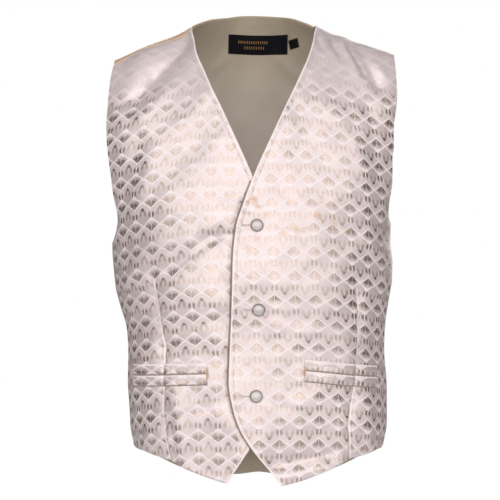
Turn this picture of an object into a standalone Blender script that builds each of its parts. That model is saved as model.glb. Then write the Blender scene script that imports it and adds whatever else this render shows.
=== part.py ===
"""A worn waistcoat with no wearer: two lapped fronts, a back with its lining, two welt pockets,
three covered buttons, a woven neck label and its size tab. Metres, +Z up, the front faces -Y.

The origin lies on the shoulder line, between the two points where the shoulders meet the neck.
Every panel is a thin wall on one body form. A point of that form is named by its face (FRONT or
BACK), its angle in degrees from that face's centre line and its course, the distance up the cloth:
below the chest line the course is the height itself, and above it the cloth rolls over towards
the shoulder line.
"""

import math

import bmesh
import bpy
import numpy as np
from mathutils import Vector
from mathutils.bvhtree import BVHTree

FRONT = 1.0
BACK = -1.0
WEARERS_RIGHT = -1.0
WEARERS_LEFT = 1.0

# Cloth
FRONT_THICKNESS = 0.0020
BACK_THICKNESS = 0.0014
LINING_THICKNESS = 0.0010
LIP_THICKNESS = 0.0013
LABEL_THICKNESS = 0.0007
SEAM_GAP = 0.0003
TRIM_GAP = 0.0005

# Body form: one row for each level, sway moves the level sideways
CHEST_LINE = -0.27
ROLL_LENGTH = 0.20
SECTION_COLUMNS = ("course", "half_width", "front_depth", "back_depth", "roundness", "sway")
SECTIONS = (
    (-0.660, 0.1660, 0.112, 0.108, 2.35, 0.0080),
    (-0.575, 0.1700, 0.113, 0.109, 2.35, 0.0075),
    (-0.540, 0.1755, 0.113, 0.108, 2.35, 0.0075),
    (-0.490, 0.1760, 0.111, 0.104, 2.30, 0.0060),
    (-0.440, 0.1727, 0.110, 0.101, 2.30, 0.0050),
    (-0.410, 0.1745, 0.111, 0.102, 2.30, 0.0040),
    (-0.373, 0.1825, 0.114, 0.106, 2.30, 0.0010),
    (-0.338, 0.1890, 0.117, 0.111, 2.30, 0.0000),
    (-0.310, 0.1900, 0.118, 0.115, 2.30, -0.0010),
    (-0.270, 0.1895, 0.118, 0.118, 2.30, -0.0020),
    (-0.220, 0.2030, 0.118, 0.118, 2.30, -0.0040),
    (-0.160, 0.2180, 0.118, 0.118, 2.30, -0.0040),
    (-0.090, 0.2240, 0.118, 0.118, 2.30, -0.0010),
    (0.050, 0.2240, 0.118, 0.118, 2.30, 0.0020),
)

# Height of the shoulder line; over the neck, where there is no cloth, it only steers the roll
SHOULDER_COLUMNS = ("x", "height")
SHOULDER_LINE = (
    (-0.240, -0.0660),
    (-0.188, -0.0455),
    (-0.140, -0.0245),
    (-0.086, 0.0000),
    (-0.075, 0.0078),
    (-0.060, 0.0260),
    (-0.030, 0.0800),
    (0.000, 0.1080),
    (0.030, 0.0800),
    (0.060, 0.0262),
    (0.075, 0.0083),
    (0.086, 0.0010),
    (0.110, -0.0095),
    (0.127, -0.0145),
    (0.160, -0.0270),
    (0.187, -0.0360),
    (0.240, -0.0640),
)

# Cut: the wearer's left front laps over the right one, which is its mirror image
FRONT_EDGE_COLUMNS = ("height", "x")
FRONT_EDGE = (
    (0.000, 0.0850),
    (-0.035, 0.0770),
    (-0.072, 0.0620),
    (-0.135, 0.0325),
    (-0.205, 0.0010),
    (-0.243, -0.0132),
    (-0.273, -0.0224),
    (-0.312, -0.0266),
    (-0.379, -0.0282),
    (-0.446, -0.0311),
    (-0.475, -0.0319),
    (-0.5145, -0.0258),
    (-0.539, -0.0173),
    (-0.5624, -0.0031),
    (-0.6125, 0.0378),
)
MIRROR_LINE_COLUMNS = ("height", "x")
MIRROR_LINE = ((-0.612, 0.0005), (-0.560, -0.0030), (-0.450, 0.0), (0.0, 0.0))
HEM_COLUMNS = ("angle", "height")
HEM = (
    (0.0, -0.6180),
    (8.0, -0.6130),
    (17.0, -0.6065),
    (25.0, -0.5990),
    (33.0, -0.5910),
    (43.0, -0.5815),
    (55.0, -0.5765),
    (75.0, -0.5710),
    (100.0, -0.5700),
)
BACK_HEM_COLUMNS = ("angle", "height")
BACK_HEM = ((0.0, -0.6155), (9.0, -0.6190), (30.0, -0.6120), (60.0, -0.5850), (90.0, -0.5700))
ARMHOLE_COLUMNS = ("part_of_drop", "angle")
FRONT_ARMHOLE = (
    (0.00, 56.0),
    (0.13, 57.5),
    (0.30, 58.9),
    (0.45, 60.2),
    (0.58, 63.3),
    (0.70, 66.5),
    (0.80, 69.3),
    (0.88, 71.0),
    (0.94, 74.5),
    (0.98, 83.5),
    (1.00, 97.0),
)
BACK_ARMHOLE = (
    (0.00, 56.0),
    (0.20, 55.5),
    (0.45, 56.5),
    (0.65, 59.5),
    (0.80, 64.0),
    (0.90, 69.0),
    (0.97, 76.0),
    (1.00, 83.0),
)
BACK_NECK_COLUMNS = ("x", "height")
BACK_NECK = ((0.0, 0.0232), (0.0166, 0.0222), (0.042, 0.0187), (0.057, 0.0148), (0.074, 0.0068))
UNDERARM_PART = 0.94
SIDE_SEAM_ANGLE = 97.0
SHOULDER_TIP_ANGLE = 56.0
UNDERARM_HEIGHT = {WEARERS_RIGHT: -0.298, WEARERS_LEFT: -0.272}
SEAM_AHEAD_OF_RIDGE = {WEARERS_RIGHT: 0.020, WEARERS_LEFT: 0.006}
NECK_HALF_WIDTH = 0.0842
NECK_CORNER_HEIGHT = 0.0010
NECK_MARGIN = 0.0005
WAIST_ROW_HEIGHT = -0.290

# The front edges part from each other where they lap
LAP_OFFSET = 0.00135
LAP_FADE = 0.038
LAP_COVER = 0.003

# Largest folds: a soft trough (height below 0) or ridge from one end to the other, seen from its face
FOLD_COLUMNS = ("face", "x0", "z0", "x1", "z1", "half_width", "height")
FOLDS = (
    (FRONT, -0.134, -0.335, -0.118, -0.430, 0.007, -0.0018),
    (FRONT, -0.118, -0.430, -0.119, -0.538, 0.007, -0.0018),
    (FRONT, -0.119, -0.538, -0.110, -0.600, 0.007, -0.0014),
    (FRONT, 0.138, -0.345, 0.140, -0.400, 0.007, -0.0018),
    (FRONT, 0.140, -0.400, 0.129, -0.537, 0.007, -0.0018),
    (FRONT, 0.129, -0.537, 0.134, -0.600, 0.007, -0.0014),
    (FRONT, -0.094, -0.022, -0.160, -0.108, 0.014, -0.0045),
    (FRONT, -0.150, -0.050, -0.176, -0.120, 0.016, 0.0025),
    (FRONT, -0.037, -0.275, -0.116, -0.323, 0.014, -0.0022),
    (FRONT, 0.108, -0.018, 0.122, -0.045, 0.008, -0.0030),
    (FRONT, 0.138, -0.024, 0.168, -0.078, 0.008, -0.0045),
    (FRONT, 0.120, -0.050, 0.145, -0.075, 0.012, 0.0025),
    (FRONT, 0.162, -0.262, 0.184, -0.292, 0.010, -0.0030),
    (FRONT, 0.030, -0.584, 0.105, -0.571, 0.011, -0.0030),
    (FRONT, -0.104, -0.490, -0.093, -0.595, 0.012, 0.0030),
    (FRONT, -0.172, -0.300, -0.178, -0.330, 0.012, -0.0025),
    (BACK, -0.060, -0.090, -0.105, -0.200, 0.018, -0.0030),
    (BACK, 0.055, -0.100, 0.112, -0.215, 0.020, -0.0030),
    (BACK, -0.120, -0.395, -0.040, -0.425, 0.014, -0.0025),
    (BACK, 0.135, -0.380, 0.050, -0.412, 0.013, -0.0025),
    (BACK, -0.085, -0.455, -0.070, -0.600, 0.016, 0.0030),
    (BACK, 0.075, -0.450, 0.090, -0.595, 0.017, 0.0030),
    (BACK, 0.005, -0.440, -0.004, -0.590, 0.014, -0.0022),
)
FOLD_SIDE_FADE = 0.030

# Pockets: two lips at each mouth, one row for each pocket from its inner end to its outer end
POCKET_COLUMNS = ("name", "side", "x0", "z0", "x1", "z1")
POCKETS = (
    ("right", WEARERS_RIGHT, -0.0605, -0.4660, -0.1600, -0.4705),
    ("left", WEARERS_LEFT, 0.0680, -0.4616, 0.1650, -0.4725),
)
LIP_WIDTH = 0.0145
LIP_MOUTH_GAP = 0.0006
LIP_ROUNDING = 0.0007
LIP_STEPS = 28

# Buttons: covered domes on a shank, in a buttonhole of the lapping front
BUTTON_COLUMNS = ("name", "x", "z")
BUTTONS = (("top", 0.0050, -0.2710), ("middle", 0.0073, -0.3816), ("bottom", 0.0039, -0.4950))
BUTTON_DIAMETER = 0.0168
BUTTON_RIM = 0.0012
BUTTON_DOME = 0.0042
BUTTON_SIDES = 24
SHANK_DIAMETER = 0.0022
EYELET_DIAMETER = 0.0032
SLIT_LENGTH = 0.0240
SLIT_WIDTH = 0.0010
SLIT_CUT_DEPTH = 0.012

# Label and size tab on the lining, seen from the front, turned by tilt
LABEL_COLUMNS = ("name", "x", "z", "width", "height", "tilt")
LABELS = (
    ("neck_label", 0.0070, -0.0168, 0.0830, 0.0265, -1.0),
    ("size_tab", 0.0570, -0.0172, 0.0125, 0.0125, 12.0),
)

# Grids: panels have rows down the cloth and columns from the centre outwards
FRONT_UPPER_ROWS = 17
FRONT_LOWER_ROWS = 14
FRONT_COLUMNS = 20
BACK_UPPER_ROWS = 14
BACK_LOWER_ROWS = 10
BACK_NECK_STEPS = 8
BACK_SHOULDER_STEPS = 7
BACK_ROW_CROWDING = 1.35
NECK_STEP_CROWDING = 1.6
SHARP_ANGLE = 60
DENSE = 240
METRES_PER_DEGREE = 0.0033
METRES_PER_DEGREE_AT_SIDE = 0.0019
EVENING_PASSES = {FRONT: 120, BACK: 45}
EVENING_SHARE = 0.7
NORMAL_ANGLE = 1.5
NORMAL_COURSE = 0.004

# Finishes: colour, roughness, metallic
SATIN = ("ivory figured satin", (0.78, 0.72, 0.69, 1.0), 0.42, 0.05)
BACK_SATIN = ("champagne satin", (0.74, 0.56, 0.42, 1.0), 0.38, 0.05)
LINING = ("grey beige lining", (0.42, 0.38, 0.33, 1.0), 0.50, 0.0)
BUTTON_CLOTH = ("button satin", (0.66, 0.64, 0.60, 1.0), 0.35, 0.05)
LABEL_WEAVE = ("black label weave", (0.012, 0.012, 0.018, 1.0), 0.70, 0.0)


def smooth_curve(rows, key=0, value=1):
    """A smooth curve through one column of a table, held level past both ends."""
    table = np.array(sorted(rows), dtype=float)
    knots = table[:, key]
    values = table[:, value]
    rises = np.diff(values) / np.diff(knots)
    product = rises[:-1] * rises[1:]
    total = np.where(product > 0, rises[:-1] + rises[1:], 1.0)
    slopes = np.concatenate([rises[:1], np.where(product > 0, 2 * product / total, 0.0), rises[-1:]])

    def at(where):
        where = np.clip(where, knots[0], knots[-1])
        index = np.clip(np.searchsorted(knots, where) - 1, 0, len(knots) - 2)
        step = knots[index + 1] - knots[index]
        t = (where - knots[index]) / step
        start = (1 + 2 * t) * (1 - t) ** 2 * values[index] + t * (1 - t) ** 2 * step * slopes[index]
        end = t * t * (3 - 2 * t) * values[index + 1] - t * t * (1 - t) * step * slopes[index + 1]
        return start + end

    return at


half_width_at = smooth_curve(SECTIONS, 0, 1)
front_depth_at = smooth_curve(SECTIONS, 0, 2)
back_depth_at = smooth_curve(SECTIONS, 0, 3)
roundness_at = smooth_curve(SECTIONS, 0, 4)
sway_at = smooth_curve(SECTIONS, 0, 5)
shoulder_height_at = smooth_curve(SHOULDER_LINE)
front_edge_at = smooth_curve(FRONT_EDGE)
mirror_line_at = smooth_curve(MIRROR_LINE)
hem_at = smooth_curve(HEM)
back_hem_at = smooth_curve(BACK_HEM)
back_neck_at = smooth_curve(BACK_NECK + ((NECK_HALF_WIDTH, NECK_CORNER_HEIGHT),))


def smooth_step(value):
    """0 below 0, 1 above 1, soft between."""
    t = np.clip(value, 0.0, 1.0)
    return t * t * (3 - 2 * t)


def body_point(face, angle, course):
    """The place on the body form, as an array of x, y, z."""
    radians = np.radians(angle)
    power = 2.0 / roundness_at(course)
    across = np.sign(radians) * np.abs(np.sin(radians)) ** power
    along = np.sign(np.cos(radians)) * np.abs(np.cos(radians)) ** power
    x = sway_at(course) + half_width_at(course) * across
    roll = np.maximum(course - CHEST_LINE, 0.0) / ROLL_LENGTH
    depth = np.where(along * face >= 0, front_depth_at(course), back_depth_at(course))
    y = -face * depth * along * np.cos(roll)
    rise = (shoulder_height_at(x) - CHEST_LINE) * np.sin(roll)
    z = np.where(course > CHEST_LINE, CHEST_LINE + rise, course)
    return np.stack([x, y, z], axis=-1)


def place_seen(x, z):
    """The angle and course of the point that is seen at x, z from straight ahead of a face."""
    rise = (z - CHEST_LINE) / (shoulder_height_at(x) - CHEST_LINE)
    course = np.where(z > CHEST_LINE, CHEST_LINE + ROLL_LENGTH * np.arcsin(np.clip(rise, 0, 1)), z)
    reach = (x - sway_at(course)) / half_width_at(course)
    angle = np.arcsin(np.clip(np.abs(reach), 0, 1) ** (roundness_at(course) / 2))
    return np.stack([np.degrees(angle) * np.sign(reach), course], axis=-1)


def course_at_height(angle, height):
    """The course, on the near side of the shoulder line, that lies at a height."""
    course = np.array(height, dtype=float)
    for _ in range(12):
        x = body_point(FRONT, angle, course)[..., 0]
        course = place_seen(x, height)[..., 1]
    return course


def shoulder_course(angle, ahead, face):
    """The course of a line on the shoulder that lies a distance ahead of the ridge."""
    ridge = CHEST_LINE + ROLL_LENGTH * math.pi / 2
    depth = body_point(FRONT, angle, np.full_like(angle, CHEST_LINE))[..., 1]
    return ridge - face * ROLL_LENGTH * np.arcsin(ahead / np.abs(depth))


def side_angle(side, ahead_of_seam):
    """The side seam's angle on the front, less a distance measured round the body."""
    return side * (SIDE_SEAM_ANGLE - ahead_of_seam / METRES_PER_DEGREE_AT_SIDE)


def fold_height(points):
    """How far the folds stand off the body form at each point, below 0 for a trough."""
    x = points[..., 0]
    z = points[..., 2]
    total = np.zeros_like(x)
    for face, x0, z0, x1, z1, half_width, height in FOLDS:
        length = math.hypot(x1 - x0, z1 - z0)
        along = ((x - x0) * (x1 - x0) + (z - z0) * (z1 - z0)) / length
        nearest = np.clip(along, 0.0, length)
        beyond = along - nearest
        off = ((x - x0) * (z1 - z0) - (z - z0) * (x1 - x0)) / length
        facing = smooth_step(0.5 - face * points[..., 1] / FOLD_SIDE_FADE)
        total += height * facing * np.exp(-(off**2 + beyond**2 * 0.5) / half_width**2)
    return total


def lap_offset(side, points):
    """The wearer's left front stands out and the right one sinks in where they lap."""
    x = points[..., 0]
    z = points[..., 2]
    left_edge = front_edge_at(z)
    if side == WEARERS_LEFT:
        inside = 2 * mirror_line_at(z) - left_edge - x
    else:
        inside = x - left_edge
    return side * LAP_OFFSET * smooth_step((inside + LAP_COVER + LAP_FADE) / LAP_FADE)


def body_normals(face, places):
    """Unit normals of the body form, pointing out."""
    angle = places[..., 0]
    course = places[..., 1]
    across = body_point(face, angle + NORMAL_ANGLE, course)
    across -= body_point(face, angle - NORMAL_ANGLE, course)
    up = body_point(face, angle, course + NORMAL_COURSE)
    up -= body_point(face, angle, course - NORMAL_COURSE)
    normals = face * np.cross(across, up)
    return normals / np.linalg.norm(normals, axis=-1, keepdims=True)


def spread(places, face, fractions):
    """Points at fractions of the length along a dense line of places on the body."""
    points = body_point(face, places[:, 0], places[:, 1])
    steps = np.linalg.norm(np.diff(points, axis=0), axis=1)
    lengths = np.concatenate([[0.0], np.cumsum(steps)])
    targets = np.asarray(fractions) * lengths[-1]
    angle = np.interp(targets, lengths, places[:, 0])
    course = np.interp(targets, lengths, places[:, 1])
    return np.stack([angle, course], axis=-1)


def joined(upper, lower):
    """Two lines end to end, without the point that they share."""
    return np.concatenate([upper, lower[1:]])


def fill(inner, outer, top, bottom, passes):
    """A grid of places between four edge lines, evened out so that no cell of it folds over."""
    v = np.linspace(0, 1, len(inner))[:, None, None]
    u = np.linspace(0, 1, len(top))[None, :, None]
    sides = (1 - u) * inner[:, None] + u * outer[:, None]
    ends = (1 - v) * top[None] + v * bottom[None]
    start = (1 - u) * inner[0] + u * outer[0]
    finish = (1 - u) * inner[-1] + u * outer[-1]
    to_metres = np.array([METRES_PER_DEGREE, 1.0])
    grid = (sides + ends - ((1 - v) * start + v * finish)) * to_metres
    for _ in range(passes):
        across = (grid[1:-1, 2:] - grid[1:-1, :-2]) / 2
        down = (grid[2:, 1:-1] - grid[:-2, 1:-1]) / 2
        twist = (grid[2:, 2:] - grid[2:, :-2] - grid[:-2, 2:] + grid[:-2, :-2]) / 4
        across_weight = (down**2).sum(axis=-1, keepdims=True)
        down_weight = (across**2).sum(axis=-1, keepdims=True)
        skew = (across * down).sum(axis=-1, keepdims=True)
        evened = across_weight * (grid[1:-1, 2:] + grid[1:-1, :-2])
        evened += down_weight * (grid[2:, 1:-1] + grid[:-2, 1:-1])
        evened = (evened - 2 * skew * twist) / (2 * (across_weight + down_weight))
        grid[1:-1, 1:-1] += EVENING_SHARE * (evened - grid[1:-1, 1:-1])
    return grid / to_metres


def armhole_places(side, face, table, underarm_angle, shoulder_places):
    """The armhole from the shoulder tip down to the side seam."""
    tip_height = body_point(face, *shoulder_places[-1])[2]
    part = np.linspace(0, 1, DENSE)
    angles = side * smooth_curve(table)(part)
    angles *= np.where(part > UNDERARM_PART, underarm_angle / table[-1][1], 1.0)
    heights = tip_height + part * (UNDERARM_HEIGHT[side] - tip_height)
    places = np.stack([angles, course_at_height(angles, heights)], axis=-1)
    places[0] = shoulder_places[-1]
    return places


def seam_places(angle, start, finish):
    """A straight seam down the body at one angle."""
    return np.stack([np.full(DENSE, angle), np.linspace(start, finish, DENSE)], axis=-1)


def front_grid(side):
    """Places of one front: rows from shoulder to hem, columns from the front edge to the side."""
    heights = np.linspace(-NECK_MARGIN, FRONT_EDGE[-1][0], 3 * DENSE)
    edge_x = front_edge_at(heights)
    if side == WEARERS_RIGHT:
        edge_x = 2 * mirror_line_at(heights) - edge_x
    edge = place_seen(edge_x, heights)
    seam = SEAM_AHEAD_OF_RIDGE[side]
    corner = edge[np.argmax(edge[:, 1] < shoulder_course(edge[:, 0], seam, FRONT))]
    edge = edge[edge[:, 1] <= corner[1]]
    shoulder_angles = np.linspace(corner[0], side * SHOULDER_TIP_ANGLE, DENSE)
    shoulder = np.stack([shoulder_angles, shoulder_course(shoulder_angles, seam, FRONT)], axis=-1)
    seam_angle = side_angle(side, 0.0)
    armhole = armhole_places(side, FRONT, FRONT_ARMHOLE, abs(seam_angle), shoulder)
    side_seam = seam_places(seam_angle, UNDERARM_HEIGHT[side], hem_at(abs(seam_angle)))
    hem_angles = np.linspace(edge[-1, 0], seam_angle, DENSE)
    hem = np.stack([hem_angles, hem_at(np.abs(hem_angles))], axis=-1)

    upper_rows = np.linspace(0, 1, FRONT_UPPER_ROWS + 1)
    lower_rows = np.linspace(0, 1, FRONT_LOWER_ROWS + 1)
    across = np.linspace(0, 1, FRONT_COLUMNS + 1)
    above = edge[edge[:, 1] >= WAIST_ROW_HEIGHT]
    below = edge[edge[:, 1] <= above[-1, 1]]
    inner = joined(spread(above, FRONT, upper_rows), spread(below, FRONT, lower_rows))
    outer = joined(spread(armhole, FRONT, upper_rows), spread(side_seam, FRONT, lower_rows))
    top = spread(shoulder, FRONT, across)
    bottom = spread(hem, FRONT, across)
    return fill(inner, outer, top, bottom, EVENING_PASSES[FRONT])


def front_surface(side):
    """The outer surface of a front, and its normals."""
    places = front_grid(side)
    points = body_point(FRONT, places[..., 0], places[..., 1])
    normals = body_normals(FRONT, places)
    offset = fold_height(points) + lap_offset(side, points)
    return points + offset[..., None] * normals, normals


def back_half_grid(side):
    """Places of half a back: rows from neck and shoulder to hem, columns from centre to side."""
    neck_x = side * np.linspace(0.0, NECK_HALF_WIDTH - NECK_MARGIN, DENSE)
    neck = place_seen(neck_x, back_neck_at(np.abs(neck_x)))
    neck[0, 0] = 0.0
    seam = SEAM_AHEAD_OF_RIDGE[side] - SEAM_GAP
    corner = neck[-1, 0]
    neck_end = shoulder_course(np.array([corner]), seam, BACK)[0]
    neck = joined(neck, seam_places(corner, neck[-1, 1], neck_end))
    shoulder_angles = np.linspace(corner, side * SHOULDER_TIP_ANGLE, DENSE)
    shoulder = np.stack([shoulder_angles, shoulder_course(shoulder_angles, seam, BACK)], axis=-1)
    seam_angle = 180 * side - side_angle(side, -SEAM_GAP)
    armhole = armhole_places(side, BACK, BACK_ARMHOLE, abs(seam_angle), shoulder)
    side_seam = seam_places(seam_angle, UNDERARM_HEIGHT[side], back_hem_at(abs(seam_angle)))
    centre = seam_places(0.0, neck[0, 1], back_hem_at(0.0))
    hem_angles = np.linspace(0.0, seam_angle, DENSE)
    hem = np.stack([hem_angles, back_hem_at(np.abs(hem_angles))], axis=-1)

    upper_rows = np.linspace(0, 1, BACK_UPPER_ROWS + 1) ** BACK_ROW_CROWDING
    lower_rows = np.linspace(0, 1, BACK_LOWER_ROWS + 1)
    columns = BACK_NECK_STEPS + BACK_SHOULDER_STEPS
    neck_steps = 1 - np.linspace(1, 0, BACK_NECK_STEPS + 1) ** NECK_STEP_CROWDING
    shoulder_steps = np.linspace(0, 1, BACK_SHOULDER_STEPS + 1)
    top = joined(spread(neck, BACK, neck_steps), spread(shoulder, BACK, shoulder_steps))
    above = centre[centre[:, 1] >= WAIST_ROW_HEIGHT]
    below = centre[centre[:, 1] <= above[-1, 1]]
    inner = joined(spread(above, BACK, upper_rows), spread(below, BACK, lower_rows))
    outer = joined(spread(armhole, BACK, upper_rows), spread(side_seam, BACK, lower_rows))
    bottom = spread(hem, BACK, np.linspace(0, 1, columns + 1))
    return fill(inner, outer, top, bottom, EVENING_PASSES[BACK])


def back_surface():
    """The outer surface of the back, from the right side seam to the left one, and its normals."""
    right = back_half_grid(WEARERS_RIGHT)[:, ::-1]
    left = back_half_grid(WEARERS_LEFT)
    places = np.concatenate([right[:, :-1], left], axis=1)
    points = body_point(BACK, places[..., 0], places[..., 1])
    normals = body_normals(BACK, places)
    return points + fold_height(points)[..., None] * normals, normals


def wall_faces(rows, columns, turned):
    """Triangles of a closed wall whose outer grid comes first and its inner grid second."""
    faces = []
    inner = rows * columns
    for row in range(rows - 1):
        for column in range(columns - 1):
            a = row * columns + column
            b = a + 1
            c = a + columns + 1
            d = a + columns
            faces += [(a, c, b), (a, d, c)]
            faces += [(inner + a, inner + b, inner + c), (inner + a, inner + c, inner + d)]
    top = list(range(columns))
    right = [row * columns + columns - 1 for row in range(rows)]
    bottom = [rows * columns - 1 - column for column in range(columns)]
    left = [(rows - 1 - row) * columns for row in range(rows)]
    rim = top[:-1] + right[:-1] + bottom[:-1] + left[:-1]
    for a, b in zip(rim, rim[1:] + rim[:1]):
        faces += [(a, b, inner + b), (a, inner + b, inner + a)]
    if turned:
        faces = [face[::-1] for face in faces]
    return faces


def finish_material(finish):
    """The material of a finish, made once."""
    name, colour, roughness, metallic = finish
    material = bpy.data.materials.get(name)
    if material is None:
        material = bpy.data.materials.new(name)
        material.use_nodes = True
        shader = material.node_tree.nodes["Principled BSDF"]
        shader.inputs["Base Color"].default_value = colour
        shader.inputs["Roughness"].default_value = roughness
        shader.inputs["Metallic"].default_value = metallic
    return material


def add_object(name, points, faces, finish):
    """A named object of a mesh, in its own finish."""
    mesh = bpy.data.meshes.new(name)
    mesh.from_pydata([tuple(point) for point in points], [], faces)
    mesh.materials.append(finish_material(finish))
    mesh.shade_smooth()
    mesh.set_sharp_from_angle(angle=math.radians(SHARP_ANGLE))
    piece = bpy.data.objects.new(name, mesh)
    bpy.context.scene.collection.objects.link(piece)
    return piece


def add_wall(name, outer, inner, finish, turned=False):
    """A closed wall between two grids of the same shape."""
    rows, columns = outer.shape[:2]
    points = np.concatenate([outer.reshape(-1, 3), inner.reshape(-1, 3)])
    return add_object(name, points, wall_faces(rows, columns, turned), finish)


def surface_tree(grid):
    """A tree for casting rays at the facets of a grid."""
    rows, columns = grid.shape[:2]
    count = rows * columns
    faces = [face for face in wall_faces(rows, columns, False) if max(face) < count]
    return BVHTree.FromPolygons([Vector(point) for point in grid.reshape(-1, 3)], faces)


def point_on(tree, x, z, towards):
    """Where a line along Y through x, z meets a surface, with the normal that faces the viewer."""
    start = Vector((x, -0.5 * towards, z))
    hit, normal, _, _ = tree.ray_cast(start, Vector((0, towards, 0)))
    if normal.y * towards > 0:
        normal.negate()
    return hit, normal


def build_fronts():
    """Both fronts; returns the facets of each outer surface by side."""
    trees = {}
    for side, name in ((WEARERS_RIGHT, "front_right"), (WEARERS_LEFT, "front_left")):
        outer, normals = front_surface(side)
        add_wall(name, outer, outer - FRONT_THICKNESS * normals, SATIN, side < 0)
        trees[side] = surface_tree(outer)
    return trees


def build_back():
    """The back and, inside it, its lining; returns the facets of the lining's inner surface."""
    outer, normals = back_surface()
    add_wall("back", outer, outer - BACK_THICKNESS * normals, BACK_SATIN, True)
    skin = outer - (BACK_THICKNESS + SEAM_GAP) * normals
    inside = skin - LINING_THICKNESS * normals
    add_wall("back_lining", skin, inside, LINING, True)
    return surface_tree(inside)


def patch_on(tree, corners, steps, lift, towards):
    """A grid of points on a surface, moved out by lift, and the normals there."""
    (x0, z0), (x1, z1), width = corners
    columns, rows = steps
    points = np.zeros((rows + 1, columns + 1, 3))
    normals = np.zeros_like(points)
    length = math.hypot(x1 - x0, z1 - z0)
    down_x = (z1 - z0) / length * math.copysign(1, x1 - x0)
    down_z = -abs(x1 - x0) / length
    for row in range(rows + 1):
        for column in range(columns + 1):
            along = column / columns
            drop = width * row / rows
            hit, normal = point_on(
                tree,
                x0 + (x1 - x0) * along + down_x * drop,
                z0 + (z1 - z0) * along + down_z * drop,
                towards,
            )
            points[row, column] = hit + lift * normal
            normals[row, column] = normal
    return points, normals


def build_pockets(trees):
    """Two lips at each pocket's mouth, each a narrow pad lying on its front."""
    for name, side, x0, z0, x1, z1 in POCKETS:
        for place, shift in (("upper", LIP_WIDTH + LIP_MOUTH_GAP / 2), ("lower", -LIP_MOUTH_GAP / 2)):
            corners = ((x0, z0 + shift), (x1, z1 + shift), LIP_WIDTH)
            seat, normals = patch_on(trees[side], corners, (LIP_STEPS, 4), TRIM_GAP, 1.0)
            crown = np.full(seat.shape[:2] + (1,), LIP_THICKNESS)
            crown[0] -= LIP_ROUNDING
            crown[-1] -= LIP_ROUNDING
            crown[:, 0] -= LIP_ROUNDING
            crown[:, -1] -= LIP_ROUNDING
            outer = seat + np.maximum(crown, LIP_THICKNESS - LIP_ROUNDING) * normals
            add_wall(f"pocket_{name}_{place}_lip", outer, seat, SATIN, side < 0)


def build_labels(tree):
    """The neck label and the size tab, on the inner face of the back's lining."""
    for name, x, z, width, height, tilt in LABELS:
        turn = math.radians(tilt)
        half = Vector((math.cos(turn), math.sin(turn))) * width / 2
        lift = Vector((-math.sin(turn), math.cos(turn))) * height / 2
        start = (x - half.x + lift.x, z - half.y + lift.y)
        end = (x + half.x + lift.x, z + half.y + lift.y)
        columns = max(4, round(width / 0.006))
        seat, normals = patch_on(tree, (start, end, height), (columns, 4), TRIM_GAP, 1.0)
        add_wall(name, seat + LABEL_THICKNESS * normals, seat, LABEL_WEAVE)


def button_profile():
    """Radius and height of a button's outline, from its shank's foot to the top of the dome."""
    radius = BUTTON_DIAMETER / 2
    rim = [(radius * 0.93, 0.0), (radius, BUTTON_RIM * 0.5), (radius, BUTTON_RIM)]
    dome = []
    for step in range(1, 6):
        turn = math.radians(90 * step / 6)
        dome.append((radius * math.cos(turn), BUTTON_RIM + BUTTON_DOME * math.sin(turn)))
    return rim + dome


def turned_points(radius, height, base, frame):
    """A ring of points round the normal of a frame."""
    right, up, normal = frame
    ring = []
    for side in range(BUTTON_SIDES):
        turn = 2 * math.pi * side / BUTTON_SIDES
        ring.append(base + height * normal + radius * (math.cos(turn) * right + math.sin(turn) * up))
    return ring


def turned_solid(rings, bottom, top, frame):
    """Points and faces of a closed turned shape from its rings, lowest first."""
    sides = len(rings[0])
    points = [point for ring in rings for point in ring] + [bottom, top]
    foot = len(points) - 2
    head = len(points) - 1
    faces = []
    for level in range(len(rings) - 1):
        for side in range(sides):
            a = level * sides + side
            b = level * sides + (side + 1) % sides
            faces += [(a, b, b + sides), (a, b + sides, a + sides)]
    last = (len(rings) - 1) * sides
    for side in range(sides):
        after = (side + 1) % sides
        faces += [(foot, after, side), (head, last + side, last + after)]
    return points, faces


def cut_buttonhole(panel, base, frame, name):
    """A keyhole slit through the panel: a round eye for the shank, and the slit towards the edge."""
    right, up, normal = frame
    eye = EYELET_DIAMETER / 2
    half_slit = SLIT_WIDTH / 2
    mouth = math.asin(half_slit / eye)
    outline = [(-SLIT_LENGTH, half_slit), (-SLIT_LENGTH, -half_slit)]
    for step in range(13):
        turn = math.pi + mouth + (2 * math.pi - 2 * mouth) * step / 12
        outline.append((eye * math.cos(turn), eye * math.sin(turn)))
    shape = bmesh.new()
    rings = []
    for depth in (-SLIT_CUT_DEPTH / 2, SLIT_CUT_DEPTH / 2):
        centre = base + depth * normal
        rings.append([shape.verts.new(centre + a * right + b * up) for a, b in outline])
    count = len(outline)
    for index in range(count):
        after = (index + 1) % count
        shape.faces.new((rings[0][index], rings[0][after], rings[1][after], rings[1][index]))
    shape.faces.new(rings[0][::-1])
    shape.faces.new(rings[1])
    mesh = bpy.data.meshes.new(name)
    shape.to_mesh(mesh)
    shape.free()
    cutter = bpy.data.objects.new(name, mesh)
    cutter.hide_render = True
    cutter.display_type = "WIRE"
    bpy.context.scene.collection.objects.link(cutter)
    cut = panel.modifiers.new(name, "BOOLEAN")
    cut.operation = "DIFFERENCE"
    cut.object = cutter


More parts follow.
